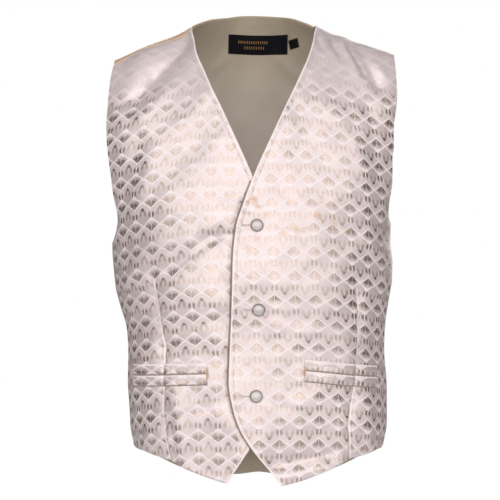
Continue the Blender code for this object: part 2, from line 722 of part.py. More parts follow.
def build_buttons(trees):
    """Three covered buttons on the lapping front, their shanks reaching down to the other front."""
    for name, x, z in BUTTONS:
        seat, normal = point_on(trees[WEARERS_LEFT], x, z, 1.0)
        right = Vector((1, 0, 0))
        right = (right - right.dot(normal) * normal).normalized()
        frame = (right, normal.cross(right), normal)
        base = seat + TRIM_GAP * normal
        reach = trees[WEARERS_RIGHT].ray_cast(base, -normal)[3]
        shank = SHANK_DIAMETER / 2
        foot = SEAM_GAP - reach
        rings = [
            turned_points(shank, foot, base, frame),
            turned_points(shank, 0.0, base, frame),
        ]
        for radius, height in button_profile():
            rings.append(turned_points(radius, height, base, frame))
        top = base + (BUTTON_RIM + BUTTON_DOME) * normal
        points, faces = turned_solid(rings, base + foot * normal, top, frame)
        add_object(f"button_{name}", points, faces, BUTTON_CLOTH)
        cut_buttonhole(bpy.data.objects["front_left"], base, frame, f"buttonhole_{name}")


def clear_scene():
    """Removes whatever the scene holds."""
    for piece in list(bpy.data.objects):
        bpy.data.objects.remove(piece, do_unlink=True)


def build_waistcoat():
    clear_scene()
    trees = build_fronts()
    lining_tree = build_back()
    build_pockets(trees)
    build_labels(lining_tree)
    build_buttons(trees)


build_waistcoat()
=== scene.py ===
# %% [markdown]
# # A figured satin waistcoat with no wearer in it
# The imported solids say where each panel, lip, button and label is. This lesson dresses them:
# every panel of cloth is made again as a thin shell with its folds, its pressed edges and its
# weave, and what a tailor sews on is put where the solids have it.
#
# The frame comes first.

import math
from functools import partialmethod

import bpy
import numpy as np
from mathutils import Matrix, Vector
from mathutils.bvhtree import BVHTree


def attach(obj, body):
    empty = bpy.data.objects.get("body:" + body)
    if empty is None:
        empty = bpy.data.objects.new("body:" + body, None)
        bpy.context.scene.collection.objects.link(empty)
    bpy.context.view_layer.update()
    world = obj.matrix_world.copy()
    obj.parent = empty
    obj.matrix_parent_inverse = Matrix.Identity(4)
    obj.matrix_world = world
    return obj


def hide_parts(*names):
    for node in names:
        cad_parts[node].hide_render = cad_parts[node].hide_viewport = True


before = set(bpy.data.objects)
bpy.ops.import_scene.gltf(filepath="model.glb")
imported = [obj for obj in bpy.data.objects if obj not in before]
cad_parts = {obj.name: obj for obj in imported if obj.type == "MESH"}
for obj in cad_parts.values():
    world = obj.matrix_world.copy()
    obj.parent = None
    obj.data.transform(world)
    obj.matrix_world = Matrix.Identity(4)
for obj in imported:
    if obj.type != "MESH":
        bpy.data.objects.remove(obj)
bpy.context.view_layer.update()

# %% [markdown]
# ## The body form
# A waistcoat takes its shape from the chest that it is cut for. The form is a stack of rounded
# sections: below the chest line they go straight down, and above it they roll over to the
# shoulder line. A place on it is named by an angle round the body and a course up the cloth, so a
# pattern piece can be drawn in those two numbers and never leaves the body. These are the sizes
# that the solids were cut with.

# %% Sizes of the body form
FRONT = 1.0
BACK = -1.0
WEARERS_RIGHT = -1.0
WEARERS_LEFT = 1.0
MM = 0.001
CHEST_LINE = -0.27
ROLL_LENGTH = 0.20
# course, half width, front depth, back depth, roundness, sway to the side
SECTIONS = (
    (-0.660, 0.1660, 0.112, 0.108, 2.35, 0.0080),
    (-0.575, 0.1700, 0.113, 0.109, 2.35, 0.0075),
    (-0.540, 0.1755, 0.113, 0.108, 2.35, 0.0075),
    (-0.490, 0.1760, 0.111, 0.104, 2.30, 0.0060),
    (-0.440, 0.1727, 0.110, 0.101, 2.30, 0.0050),
    (-0.410, 0.1745, 0.111, 0.102, 2.30, 0.0040),
    (-0.373, 0.1825, 0.114, 0.106, 2.30, 0.0010),
    (-0.338, 0.1890, 0.117, 0.111, 2.30, 0.0000),
    (-0.310, 0.1900, 0.118, 0.115, 2.30, -0.0010),
    (-0.270, 0.1895, 0.118, 0.118, 2.30, -0.0020),
    (-0.220, 0.2030, 0.118, 0.118, 2.30, -0.0040),
    (-0.160, 0.2180, 0.118, 0.118, 2.30, -0.0040),
    (-0.090, 0.2240, 0.118, 0.118, 2.30, -0.0010),
    (0.050, 0.2240, 0.118, 0.118, 2.30, 0.0020),
)
# x, height
SHOULDER_LINE = (
    (-0.240, -0.0660), (-0.188, -0.0455), (-0.140, -0.0245), (-0.086, 0.0000), (-0.075, 0.0078),
    (-0.060, 0.0260), (-0.030, 0.0800), (0.000, 0.1080), (0.030, 0.0800), (0.060, 0.0262),
    (0.075, 0.0083), (0.086, 0.0010), (0.110, -0.0095), (0.127, -0.0145), (0.160, -0.0270),
    (0.187, -0.0360), (0.240, -0.0640),
)


def smooth_curve(rows, key=0, value=1):
    """A smooth curve through one column of a table, held level past both ends."""
    table = np.array(sorted(rows), dtype=float)
    knots = table[:, key]
    values = table[:, value]
    rises = np.diff(values) / np.diff(knots)
    product = rises[:-1] * rises[1:]
    total = np.where(product > 0, rises[:-1] + rises[1:], 1.0)
    slopes = np.concatenate([rises[:1], np.where(product > 0, 2 * product / total, 0.0), rises[-1:]])

    def at(where):
        where = np.clip(where, knots[0], knots[-1])
        index = np.clip(np.searchsorted(knots, where) - 1, 0, len(knots) - 2)
        step = knots[index + 1] - knots[index]
        t = (where - knots[index]) / step
        start = (1 + 2 * t) * (1 - t) ** 2 * values[index] + t * (1 - t) ** 2 * step * slopes[index]
        end = t * t * (3 - 2 * t) * values[index + 1] - t * t * (1 - t) * step * slopes[index + 1]
        return start + end

    return at


def smooth_step(value):
    """0 below 0, 1 above 1, soft between."""
    t = np.clip(value, 0.0, 1.0)
    return t * t * (3 - 2 * t)


half_width_at = smooth_curve(SECTIONS, 0, 1)
front_depth_at = smooth_curve(SECTIONS, 0, 2)
back_depth_at = smooth_curve(SECTIONS, 0, 3)
roundness_at = smooth_curve(SECTIONS, 0, 4)
sway_at = smooth_curve(SECTIONS, 0, 5)
shoulder_height_at = smooth_curve(SHOULDER_LINE)


def body_point(face, angle, course):
    """The place on the body form, as an array of x, y, z."""
    radians = np.radians(angle)
    power = 2.0 / roundness_at(course)
    across = np.sign(radians) * np.abs(np.sin(radians)) ** power
    along = np.sign(np.cos(radians)) * np.abs(np.cos(radians)) ** power
    x = sway_at(course) + half_width_at(course) * across
    roll = np.maximum(course - CHEST_LINE, 0.0) / ROLL_LENGTH
    depth = np.where(along * face >= 0, front_depth_at(course), back_depth_at(course))
    y = -face * depth * along * np.cos(roll)
    rise = (shoulder_height_at(x) - CHEST_LINE) * np.sin(roll)
    z = np.where(course > CHEST_LINE, CHEST_LINE + rise, course)
    return np.stack([x, y, z], axis=-1)


def body_normals(face, places):
    """Unit normals of the body form, pointing out."""
    angle = places[..., 0]
    course = places[..., 1]
    across = body_point(face, angle + 1.5, course) - body_point(face, angle - 1.5, course)
    up = body_point(face, angle, course + 4 * MM) - body_point(face, angle, course - 4 * MM)
    normals = face * np.cross(across, up)
    return normals / np.linalg.norm(normals, axis=-1, keepdims=True)


def place_seen(x, z):
    """The angle and course of the point that is seen at x, z from straight ahead of a face."""
    rise = (z - CHEST_LINE) / (shoulder_height_at(x) - CHEST_LINE)
    course = np.where(z > CHEST_LINE, CHEST_LINE + ROLL_LENGTH * np.arcsin(np.clip(rise, 0, 1)), z)
    reach = (x - sway_at(course)) / half_width_at(course)
    angle = np.arcsin(np.clip(np.abs(reach), 0, 1) ** (roundness_at(course) / 2))
    return np.stack([np.degrees(angle) * np.sign(reach), course], axis=-1)


ring = body_point(FRONT, np.linspace(-180, 180, 361), np.full(361, CHEST_LINE))
print("chest girth:", round(float(np.linalg.norm(np.diff(ring, axis=0), axis=1).sum()), 3), "m")

# %% [markdown]
# ## The cut
# Each panel is bounded by four lines: the front edge or the neck, the shoulder seam, the armhole
# with the side seam, and the hem. The tables are the outline of the real garment, measured against
# its buttons, and are the ones that the solids have.

# %% Outline tables
# height, x
FRONT_EDGE = (
    (0.000, 0.0850), (-0.035, 0.0770), (-0.072, 0.0620), (-0.135, 0.0325), (-0.205, 0.0010),
    (-0.243, -0.0132), (-0.273, -0.0224), (-0.312, -0.0266), (-0.379, -0.0282), (-0.446, -0.0311),
    (-0.475, -0.0319), (-0.5145, -0.0258), (-0.539, -0.0173), (-0.5624, -0.0031),
    (-0.6125, 0.0378),
)
MIRROR_LINE = ((-0.612, 0.0005), (-0.560, -0.0030), (-0.450, 0.0), (0.0, 0.0))
# angle, height
HEM = (
    (0.0, -0.6180), (8.0, -0.6130), (17.0, -0.6065), (25.0, -0.5990), (33.0, -0.5910),
    (43.0, -0.5815), (55.0, -0.5765), (75.0, -0.5710), (100.0, -0.5700),
)
BACK_HEM = ((0.0, -0.6155), (9.0, -0.6190), (30.0, -0.6120), (60.0, -0.5850), (90.0, -0.5700))
# part of the drop from shoulder tip to underarm, angle
FRONT_ARMHOLE = (
    (0.00, 56.0), (0.13, 57.5), (0.30, 58.9), (0.45, 60.2), (0.58, 63.3), (0.70, 66.5),
    (0.80, 69.3), (0.88, 71.0), (0.94, 74.5), (0.98, 83.5), (1.00, 97.0),
)
BACK_ARMHOLE = (
    (0.00, 56.0), (0.20, 55.5), (0.45, 56.5), (0.65, 59.5), (0.80, 64.0), (0.90, 69.0),
    (0.97, 76.0), (1.00, 83.0),
)
NECK_HALF_WIDTH = 0.0842
NECK_CORNER_HEIGHT = 0.0010
NECK_MARGIN = 0.0005
# x, height
BACK_NECK = (
    (0.0, 0.0232), (0.0166, 0.0222), (0.042, 0.0187), (0.057, 0.0148), (0.074, 0.0068),
    (NECK_HALF_WIDTH, NECK_CORNER_HEIGHT),
)
UNDERARM_PART = 0.94
SIDE_SEAM_ANGLE = 97.0
SHOULDER_TIP_ANGLE = 56.0
UNDERARM_HEIGHT = {WEARERS_RIGHT: -0.298, WEARERS_LEFT: -0.272}
SEAM_AHEAD_OF_RIDGE = {WEARERS_RIGHT: 0.020, WEARERS_LEFT: 0.006}
SEAM_GAP = 0.0003
METRES_PER_DEGREE = 0.0033
METRES_PER_DEGREE_AT_SIDE = 0.0019
WAIST_ROW_HEIGHT = -0.290
DENSE = 480

front_edge_at = smooth_curve(FRONT_EDGE)
mirror_line_at = smooth_curve(MIRROR_LINE)
hem_at = smooth_curve(HEM)
back_hem_at = smooth_curve(BACK_HEM)
back_neck_at = smooth_curve(BACK_NECK)


def line_of(face, places):
    """A function from fractions of a line's length to places on it."""
    points = body_point(face, places[:, 0], places[:, 1])
    lengths = np.concatenate([[0.0], np.cumsum(np.linalg.norm(np.diff(points, axis=0), axis=1))])

    def at(fractions):
        targets = np.asarray(fractions) * lengths[-1]
        angle = np.interp(targets, lengths, places[:, 0])
        course = np.interp(targets, lengths, places[:, 1])
        return np.stack([angle, course], axis=-1)

    return at


def line_of_two(first, second, split):
    """Two lines end to end, the first up to the fraction split."""

    def at(fractions):
        fractions = np.asarray(fractions, dtype=float)
        early = first(np.clip(fractions / split, 0, 1))
        late = second(np.clip((fractions - split) / (1 - split), 0, 1))
        return np.where((fractions <= split)[:, None], early, late)

    return at


def course_at_height(angle, height):
    """The course, on the near side of the shoulder line, that lies at a height."""
    course = np.array(height, dtype=float)
    for _ in range(12):
        x = body_point(FRONT, angle, course)[..., 0]
        course = place_seen(x, height)[..., 1]
    return course


def shoulder_course(angle, ahead, face):
    """The course of a line on the shoulder that lies a distance ahead of the ridge."""
    ridge = CHEST_LINE + ROLL_LENGTH * math.pi / 2
    depth = body_point(FRONT, angle, np.full_like(angle, CHEST_LINE))[..., 1]
    return ridge - face * ROLL_LENGTH * np.arcsin(ahead / np.abs(depth))


def straight(angles, courses):
    """A dense line of places between two angles and two courses."""
    return np.stack([np.linspace(*angles, DENSE), np.linspace(*courses, DENSE)], axis=-1)


def shoulder_places(corner, side, seam, face):
    """The shoulder seam from the neck to the tip."""
    angles = np.linspace(corner, side * SHOULDER_TIP_ANGLE, DENSE)
    return np.stack([angles, shoulder_course(angles, seam, face)], axis=-1)


def armhole_places(side, face, table, underarm_angle, shoulder):
    """The armhole from the shoulder tip down to the side seam."""
    tip_height = body_point(face, *shoulder[-1])[2]
    part = np.linspace(0, 1, DENSE)
    angles = side * smooth_curve(table)(part)
    angles *= np.where(part > UNDERARM_PART, underarm_angle / table[-1][1], 1.0)
    heights = tip_height + part * (UNDERARM_HEIGHT[side] - tip_height)
    places = np.stack([angles, course_at_height(angles, heights)], axis=-1)
    places[0] = shoulder[-1]
    return places


def panel_lines(side, face, armhole, hem_height, seam_angle, inner, shoulder, split):
    """The inner line, the armhole with the side seam, and the hem of a panel."""
    outer = armhole_places(side, face, armhole, abs(seam_angle), shoulder)
    side_seam = straight((seam_angle,) * 2, (UNDERARM_HEIGHT[side], hem_height(abs(seam_angle))))
    hem_angles = np.linspace(inner[-1, 0], seam_angle, DENSE)
    hem = np.stack([hem_angles, hem_height(np.abs(hem_angles))], axis=-1)
    above = inner[inner[:, 1] >= WAIST_ROW_HEIGHT]
    below = inner[inner[:, 1] <= above[-1, 1]]
    return (
        line_of_two(line_of(face, above), line_of(face, below), split),
        line_of_two(line_of(face, outer), line_of(face, side_seam), split),
        line_of(face, hem),
    )


# %% [markdown]
# ## From four lines to an even grid
# A panel needs a grid of points inside its four lines. Blending the lines gives a first one, but
# it folds over itself under the arm. Evening moves every point towards where its neighbours say
# it belongs, weighted by the shape of its own cell, which keeps cells from folding. The grid
# starts coarse, and each doubling takes the edge lines afresh, so the edges stay exact.

# %% Grids between four lines
EVENING_SHARE = 0.7
DOUBLINGS = 3
PASSES_AFTER_DOUBLING = 12


def evened(grid, passes):
    """The grid with its inner points evened out, in angle and course."""
    to_metres = np.array([METRES_PER_DEGREE, 1.0])
    grid = grid * to_metres
    for _ in range(passes):
        across = (grid[1:-1, 2:] - grid[1:-1, :-2]) / 2
        down = (grid[2:, 1:-1] - grid[:-2, 1:-1]) / 2
        twist = (grid[2:, 2:] - grid[2:, :-2] - grid[:-2, 2:] + grid[:-2, :-2]) / 4
        across_weight = (down**2).sum(axis=-1, keepdims=True)
        down_weight = (across**2).sum(axis=-1, keepdims=True)
        skew = (across * down).sum(axis=-1, keepdims=True)
        target = across_weight * (grid[1:-1, 2:] + grid[1:-1, :-2])
        target += down_weight * (grid[2:, 1:-1] + grid[:-2, 1:-1])
        target = (target - 2 * skew * twist) / (2 * (across_weight + down_weight))
        grid[1:-1, 1:-1] += EVENING_SHARE * (target - grid[1:-1, 1:-1])
    return grid / to_metres


def doubled(grid, axis):
    """The grid with a point put halfway between each two along one axis."""
    grid = np.moveaxis(grid, axis, 0)
    finer = np.empty((2 * len(grid) - 1,) + grid.shape[1:])
    finer[::2] = grid
    finer[1::2] = (grid[:-1] + grid[1:]) / 2
    return np.moveaxis(finer, 0, axis)


def panel_grid(lines, rows, columns, passes):
    """A grid of places between the inner, outer, top and bottom lines of a panel."""
    inner, outer, top, bottom = lines
    v = np.linspace(0, 1, rows + 1)
    u = np.linspace(0, 1, columns + 1)
    left, right, upper, lower = inner(v), outer(v), top(u), bottom(u)
    v = v[:, None, None]
    u = u[None, :, None]
    sides = (1 - u) * left[:, None] + u * right[:, None]
    ends = (1 - v) * upper[None] + v * lower[None]
    corners = (1 - v) * ((1 - u) * left[0] + u * right[0])
    corners = corners + v * ((1 - u) * left[-1] + u * right[-1])
    grid = evened(sides + ends - corners, passes)
    for _ in range(DOUBLINGS):
        grid = doubled(doubled(grid, 0), 1)
        v = np.linspace(0, 1, grid.shape[0])
        u = np.linspace(0, 1, grid.shape[1])
        grid[:, 0], grid[:, -1], grid[0], grid[-1] = inner(v), outer(v), top(u), bottom(u)
        grid = evened(grid, PASSES_AFTER_DOUBLING)
    return grid


# %% [markdown]
# ## Cloth measured flat
# A woven repeat has to keep its size on the cloth, not on the screen. So every place also gets the
# two lengths that a tape would read along the weft and up the warp. They come from adding up small
# steps over the body form, and they become the UV map, in metres, that the materials read.

# %% Lengths along the weft and the warp
LATTICE_ANGLES = np.linspace(-130, 130, 261)
LATTICE_COURSES = np.linspace(-0.70, 0.20, 226)


def tape_tables(face):
    """Weft and warp lengths over a lattice of angles and courses."""
    angle, course = np.meshgrid(LATTICE_ANGLES, LATTICE_COURSES, indexing="ij")
    points = body_point(face, angle, course)
    weft = np.zeros_like(angle)
    weft[1:] = np.cumsum(np.linalg.norm(np.diff(points, axis=0), axis=-1), axis=0)
    weft -= weft[len(LATTICE_ANGLES) // 2]
    warp = np.zeros_like(angle)
    warp[:, 1:] = np.cumsum(np.linalg.norm(np.diff(points, axis=1), axis=-1), axis=1)
    return weft, warp + LATTICE_COURSES[0]


def between(table, places):
    """The lattice's values at places, taken between its points."""
    i = (places[..., 0] - LATTICE_ANGLES[0]) / (LATTICE_ANGLES[1] - LATTICE_ANGLES[0])
    j = (places[..., 1] - LATTICE_COURSES[0]) / (LATTICE_COURSES[1] - LATTICE_COURSES[0])
    i0 = np.clip(np.floor(i).astype(int), 0, table.shape[0] - 2)
    j0 = np.clip(np.floor(j).astype(int), 0, table.shape[1] - 2)
    a = np.clip(i - i0, 0, 1)
    b = np.clip(j - j0, 0, 1)
    low = table[i0, j0] * (1 - a) + table[i0 + 1, j0] * a
    high = table[i0, j0 + 1] * (1 - a) + table[i0 + 1, j0 + 1] * a
    return low * (1 - b) + high * b


TAPES = {face: tape_tables(face) for face in (FRONT, BACK)}


def measured_flat(face, places):
    """Weft and warp lengths of places, in metres."""
    weft, warp = TAPES[face]
    return np.stack([between(weft, places), between(warp, places)], axis=-1)


print("half the chest, by tape:", round(float(TAPES[FRONT][0][220, 107]), 3), "m")

# %% [markdown]
# ## Folds, one by one
# Cloth over a still form shows few folds, and each has its cause: drag lines from a button or a
# shoulder, a long trough where a dart takes cloth away, a pinch under the arm. Each is one row of a
# table: a soft trough or ridge from one point to another, as seen from the front or the back. The
# large ones are those of the solids, but for the top button's drag line, which is drawn finer here.
# Among the fine ones is one broad hollow across the lower front. Sums of slow waves add the
# unevenness of worn cloth; they are written out, so every run gives the same cloth, and they die
# away towards the side seams and shoulder seams, where the panels have to meet.

# %% Fold tables
def in_metres(rows):
    """A table of millimetres as a table of metres."""
    return [tuple(MM * size for size in row) for row in rows]


def on_face(face, rows):
    """Folds in millimetres as folds in metres, each with its face."""
    return [(face, *row) for row in in_metres(rows)]


# x and z of both ends, half width, height; all in millimetres
LARGE_FOLDS = on_face(FRONT, (
    (-134, -335, -118, -430, 7, -1.8), (-118, -430, -119, -538, 7, -1.8),
    (-119, -538, -110, -600, 7, -1.4), (138, -345, 140, -400, 7, -1.8),
    (140, -400, 129, -537, 7, -1.8), (129, -537, 134, -600, 7, -1.4),
    (-94, -22, -160, -108, 14, -4.5), (-150, -50, -176, -120, 16, 2.5),
    (-30, -283, -52, -288, 8, -2.6), (-52, -288, -108, -328, 9, -3), (108, -18, 122, -45, 8, -3),
    (138, -24, 168, -78, 8, -4.5), (120, -50, 145, -75, 12, 2.5), (162, -262, 184, -292, 10, -3),
    (30, -584, 105, -571, 11, -3), (-104, -490, -93, -595, 12, 3),
    (-172, -300, -178, -330, 12, -2.5),
)) + on_face(BACK, (
    (-60, -90, -105, -200, 18, -3), (55, -100, 112, -215, 20, -3),
    (-120, -395, -40, -425, 14, -2.5), (135, -380, 50, -412, 13, -2.5),
    (-85, -455, -70, -600, 16, 3), (75, -450, 90, -595, 17, 3), (5, -440, -4, -590, 14, -2.2),
))
FINE_FOLDS = on_face(FRONT, (
    (-150, -600, 150, -600, 70, -7), (-55, -396, 65, -396, 60, 3.8),
    (-150, -450, -60, -500, 30, 1.8), (50, -520, 130, -470, 28, 1.8),
    (-12, -243, 10, -251, 3.5, -1), (-16, -256, 8, -262, 3.5, -1), (-14, -249, 14, -257, 3.5, 0.9),
    (12, -262, 40, -240, 5, 0.9), (14, -276, 60, -283, 6, -0.9), (-40, -262, -100, -292, 7, 1.2),
    (-36, -392, -92, -404, 8, -1), (18, -388, 80, -398, 8, -0.9), (-38, -500, -85, -520, 8, -1),
    (16, -500, 70, -522, 8, -1), (-94, -22, -133, -68, 7.5, -3.4),
    (-136, -74, -153, -94, 7.5, -3.2), (-156, -98, -176, -108, 6.5, -2.6),
    (-104, -30, -120, -46, 5, 1.2), (-106, -26, -150, -80, 18, -4),
    (-120, -100, -150, -130, 8, 1.8), (-152, -155, -170, -235, 10, -1.6),
    (-135, -185, -158, -262, 9, 1.3), (156, -120, 168, -205, 10, -1.6),
    (136, -165, 152, -250, 9, 1.2), (130, -32, 147, -64, 5, -2.6), (150, -68, 168, -82, 5, -2.4),
    (108, -22, 117, -44, 4.5, -2), (120, -24, 134, -56, 5, 1.8), (148, -44, 170, -62, 6, 1.8),
    (86, -16, 91, -28, 4, -1.8), (-108.5, -530, -101, -600, 6, -2.4),
    (28, -588, 100, -574, 8, -2.2), (36, -602, 100, -590, 6, 1.8), (148, -290, 178, -318, 7, 1.4),
    (-150, -318, -176, -352, 7, 1.3), (-62, -500, -60, -590, 12, -1.3),
    (60, -480, 52, -580, 11, 1.3), (92, -500, 95, -570, 9, -1.2), (150, -490, 155, -565, 8, 1.4),
    (-140, -480, -146, -560, 9, 1.3),
)) + on_face(BACK, (
    (-30, -30, -90, -75, 8, -1.5), (30, -30, 85, -80, 8, -1.5), (-140, -230, -168, -290, 9, -1.8),
    (145, -225, 166, -280, 9, -1.8), (-110, -300, -50, -335, 10, -1.4),
    (115, -310, 60, -345, 10, -1.3), (-130, -435, -60, -452, 9, 1.3),
    (125, -425, 55, -446, 9, 1.3), (-35, -470, -30, -600, 11, 1.6), (40, -475, 44, -600, 11, -1.5),
    (-130, -470, -128, -575, 11, -1.5), (128, -470, 130, -570, 11, 1.5),
))
FOLD_SIDE_FADE = 0.030
# turns across and up the cloth, phase, height
SLOW_WAVES = (
    (31.0, 17.0, 0.4, 0.00090), (-22.0, 41.0, 2.1, 0.00090), (64.0, 23.0, 1.3, 0.00050),
    (-57.0, 52.0, 4.0, 0.00050), (95.0, -61.0, 5.2, 0.00030), (38.0, 118.0, 0.9, 0.00030),
    (151.0, 74.0, 3.3, 0.00017), (-132.0, 143.0, 1.7, 0.00017),
)
WAVE_SEAM_HALF_WIDTH = 0.020
WAVE_SEAM_FADE = 0.040


def along_and_off(points, x0, z0, x1, z1):
    """How far along a line each point is, and how far off it, as seen from the front."""
    length = math.hypot(x1 - x0, z1 - z0)
    x = points[..., 0] - x0
    z = points[..., 2] - z0
    along = (x * (x1 - x0) + z * (z1 - z0)) / length
    off = (x * (z1 - z0) - z * (x1 - x0)) / length
    return along, off, length


def fold_height(points, folds):
    """How far the folds stand off the body form at each point, below 0 for a trough."""
    total = np.zeros(points.shape[:-1])
    for face, x0, z0, x1, z1, half_width, height in folds:
        along, off, length = along_and_off(points, x0, z0, x1, z1)
        beyond = along - np.clip(along, 0.0, length)
        facing = smooth_step(0.5 - face * points[..., 1] / FOLD_SIDE_FADE)
        total += height * facing * np.exp(-(off**2 + beyond**2 * 0.5) / half_width**2)
    return total


def wave_height(points, flat):
    """The slow unevenness of worn cloth, from its flat lengths; it dies away at the seams."""
    total = np.zeros(flat.shape[:-1])
    for across, up, phase, height in SLOW_WAVES:
        total += height * np.sin(across * flat[..., 0] + up * flat[..., 1] + phase)
    return total * smooth_step((np.abs(points[..., 1]) - WAVE_SEAM_HALF_WIDTH) / WAVE_SEAM_FADE)


print("folds:", len(LARGE_FOLDS) + len(FINE_FOLDS))

# %% [markdown]
# ## Darts
# A dart is sewn from a point near the chest down to the hem. On the right side of the cloth it
# shows as a fine ditch, with the pressed fold of the dart lying as a low welt beside it, and the
# cloth puckers a little along the stitching. The ditch is cut into the shell's own mesh.

# %% Dart lines and what they do to the cloth
# x, z in millimetres, from the dart's point down to the hem
DARTS = {
    WEARERS_RIGHT: in_metres((
        (-133.6, -335), (-131.2, -353.4), (-126.1, -377.2), (-121.2, -405), (-117.7, -428.2),
        (-117, -453.6), (-118.4, -489.2), (-119.8, -517.8), (-119, -537.9), (-116.3, -559.3),
        (-111.1, -596),
    )),
    WEARERS_LEFT: in_metres((
        (138.5, -345.6), (140.5, -372.6), (139.7, -399.8), (138, -428.5), (134.6, -453.8),
        (133.7, -489.2), (131.1, -511.4), (129.4, -536.9), (134.4, -590),
    )),
}
DITCH_HALF_WIDTH = 0.0020
DITCH_DEPTH = 0.0014
WELT_HALF_WIDTH = 0.0028
WELT_SHIFT = 0.0042
WELT_HEIGHT = 0.0005
PUCKER_LENGTH = 0.013
PUCKER_HEIGHT = 0.00028
PUCKER_REACH = 0.009
DART_FADE = 0.03


def dart_off(side, points):
    """How far each point lies outside of its side's dart, measured level, and the dart's fade."""
    table = np.array(DARTS[side])[::-1]
    x_at = np.interp(points[..., 2], table[:, 1], table[:, 0])
    top = table[-1, 1]
    fade = smooth_step((top - points[..., 2]) / DART_FADE)
    return side * (points[..., 0] - x_at), fade


def dart_height(side, points):
    """The ditch, the welt inside of it and the puckers along it."""
    off, fade = dart_off(side, points)
    ditch = -DITCH_DEPTH * np.exp(-(off**2) / DITCH_HALF_WIDTH**2)
    welt = WELT_HEIGHT * np.exp(-((off + WELT_SHIFT) ** 2) / WELT_HALF_WIDTH**2)
    wave = np.sin(2 * math.pi * points[..., 2] / PUCKER_LENGTH + 1.3 * np.sin(40 * points[..., 2]))
    pucker = PUCKER_HEIGHT * wave * np.exp(-(off**2) / PUCKER_REACH**2)
    return (ditch + welt + pucker) * fade


# %% [markdown]
# ## Sums on sockets
# Materials and stitches are node trees built in code. Written node by node, a formula is hard to
# read, so a small class stands for one value in a tree: adding or multiplying two of them adds the
# Math node that does it. The rest of the lesson writes its formulas as formulas.

# %% A value in a node tree
def add_node(tree, kind, inputs=None, **settings):
    """A node with its settings, and values or links for its inputs by name or place."""
    node = tree.nodes.new(kind)
    for name, value in settings.items():
        setattr(node, name, value)
    for name, value in (inputs or {}).items():
        set_input(tree, node.inputs[name], value)
    return node


def set_input(tree, socket, value):
    """Links a socket or a Value to an input, or sets a plain number."""
    if isinstance(value, Value):
        value = value.socket
    if isinstance(value, bpy.types.NodeSocket):
        tree.links.new(value, socket)
    else:
        socket.default_value = value


class Value:
    """One value in a node tree, which can be used in sums."""

    def __init__(self, tree, socket):
        self.tree = tree
        self.socket = socket

    def math(self, operation, *others, order=None):
        inputs = [self, *others]
        if order:
            inputs = [inputs[place] for place in order]
        node = add_node(self.tree, "ShaderNodeMath", dict(enumerate(inputs)), operation=operation)
        return Value(self.tree, node.outputs[0])

    def __rsub__(self, other):
        return self.math("SUBTRACT", other, order=(1, 0))

    def wrapped(self, low, high):
        return self.math("WRAP", high, low)

    def rise(self, low, high):
        """0 below low and 1 above high, soft between."""
        inputs = {"Value": self, "From Min": low, "From Max": high}
        node = add_node(self.tree, "ShaderNodeMapRange", inputs, interpolation_type="SMOOTHSTEP")
        return Value(self.tree, node.outputs["Result"])

    def fall(self, low, high):
        """1 below low and 0 above high, soft between."""
        return 1.0 - self.rise(low, high)


for word, operation in (
    ("__add__", "ADD"), ("__radd__", "ADD"), ("__sub__", "SUBTRACT"),
    ("__mul__", "MULTIPLY"), ("__rmul__", "MULTIPLY"), ("__truediv__", "DIVIDE"),
    ("__pow__", "POWER"), ("__abs__", "ABSOLUTE"), ("sine", "SINE"), ("cosine", "COSINE"),
    ("root", "SQRT"), ("larger", "MAXIMUM"), ("smaller", "MINIMUM"),
    ("above", "GREATER_THAN"), ("angle_from", "ARCTAN2"),
):
    setattr(Value, word, partialmethod(Value.math, operation))


def parts_of(tree, vector):
    """The three numbers of a vector."""
    node = add_node(tree, "ShaderNodeSeparateXYZ", {0: vector})
    return [Value(tree, output) for output in node.outputs]


def noise(tree, place, scale, detail=2.0):
    """Noise between 0 and 1."""
    node = add_node(tree, "ShaderNodeTexNoise", {"Vector": place, "Scale": scale, "Detail": detail})
    return Value(tree, node.outputs["Fac"])


def mixed(tree, share, first, second):
    """Two colours mixed by a share."""
    node = add_node(tree, "ShaderNodeMix", data_type="RGBA")
    for index, value in ((0, share), (6, first), (7, second)):
        set_input(tree, node.inputs[index], value)
    return node.outputs[2]


FLOAT = "NodeSocketFloat"
VECTOR = "NodeSocketVector"


def new_group(name, inputs, outputs, kind="ShaderNodeTree"):
    """A node group, its inputs as a dictionary and its output node."""
    group = bpy.data.node_groups.new(name, kind)
    for label, socket_type, value in inputs:
        socket = group.interface.new_socket(label, in_out="INPUT", socket_type=socket_type)
        if value is not None:
            socket.default_value = value
    for label, socket_type in outputs:
        group.interface.new_socket(label, in_out="OUTPUT", socket_type=socket_type)
    inlet = group.nodes.new("NodeGroupInput")
    given = {output.name: Value(group, output) for output in inlet.outputs}
    return group, given, group.nodes.new("NodeGroupOutput")


def place_group(tree, group, inputs):
    """A group node with its inputs, and its outputs as a dictionary."""
    node = tree.nodes.new("ShaderNodeGroup")
    node.node_tree = group
    for name, value in inputs.items():
        set_input(tree, node.inputs[name], value)
    return {output.name: Value(tree, output) for output in node.outputs}


# %% [markdown]
# ## The net of the repeat
# The figure in this weave is an old one: a net of pale lines holds two kinds of cells, and a fan
# sits in each. The net comes first. From every stem two lines rise to the knots between the
# columns, and from the knots two lines rise to a cap above the stem. Sizes are in millimetres, as
# a weaver would give them: the repeat is 27 wide and 31.8 high.

# %% Group: the net
REPEAT_WIDTH = 27.0
REPEAT_HEIGHT = 31.8
KNOT_HEIGHT = 8.8
CAP_HEIGHT = 18.0

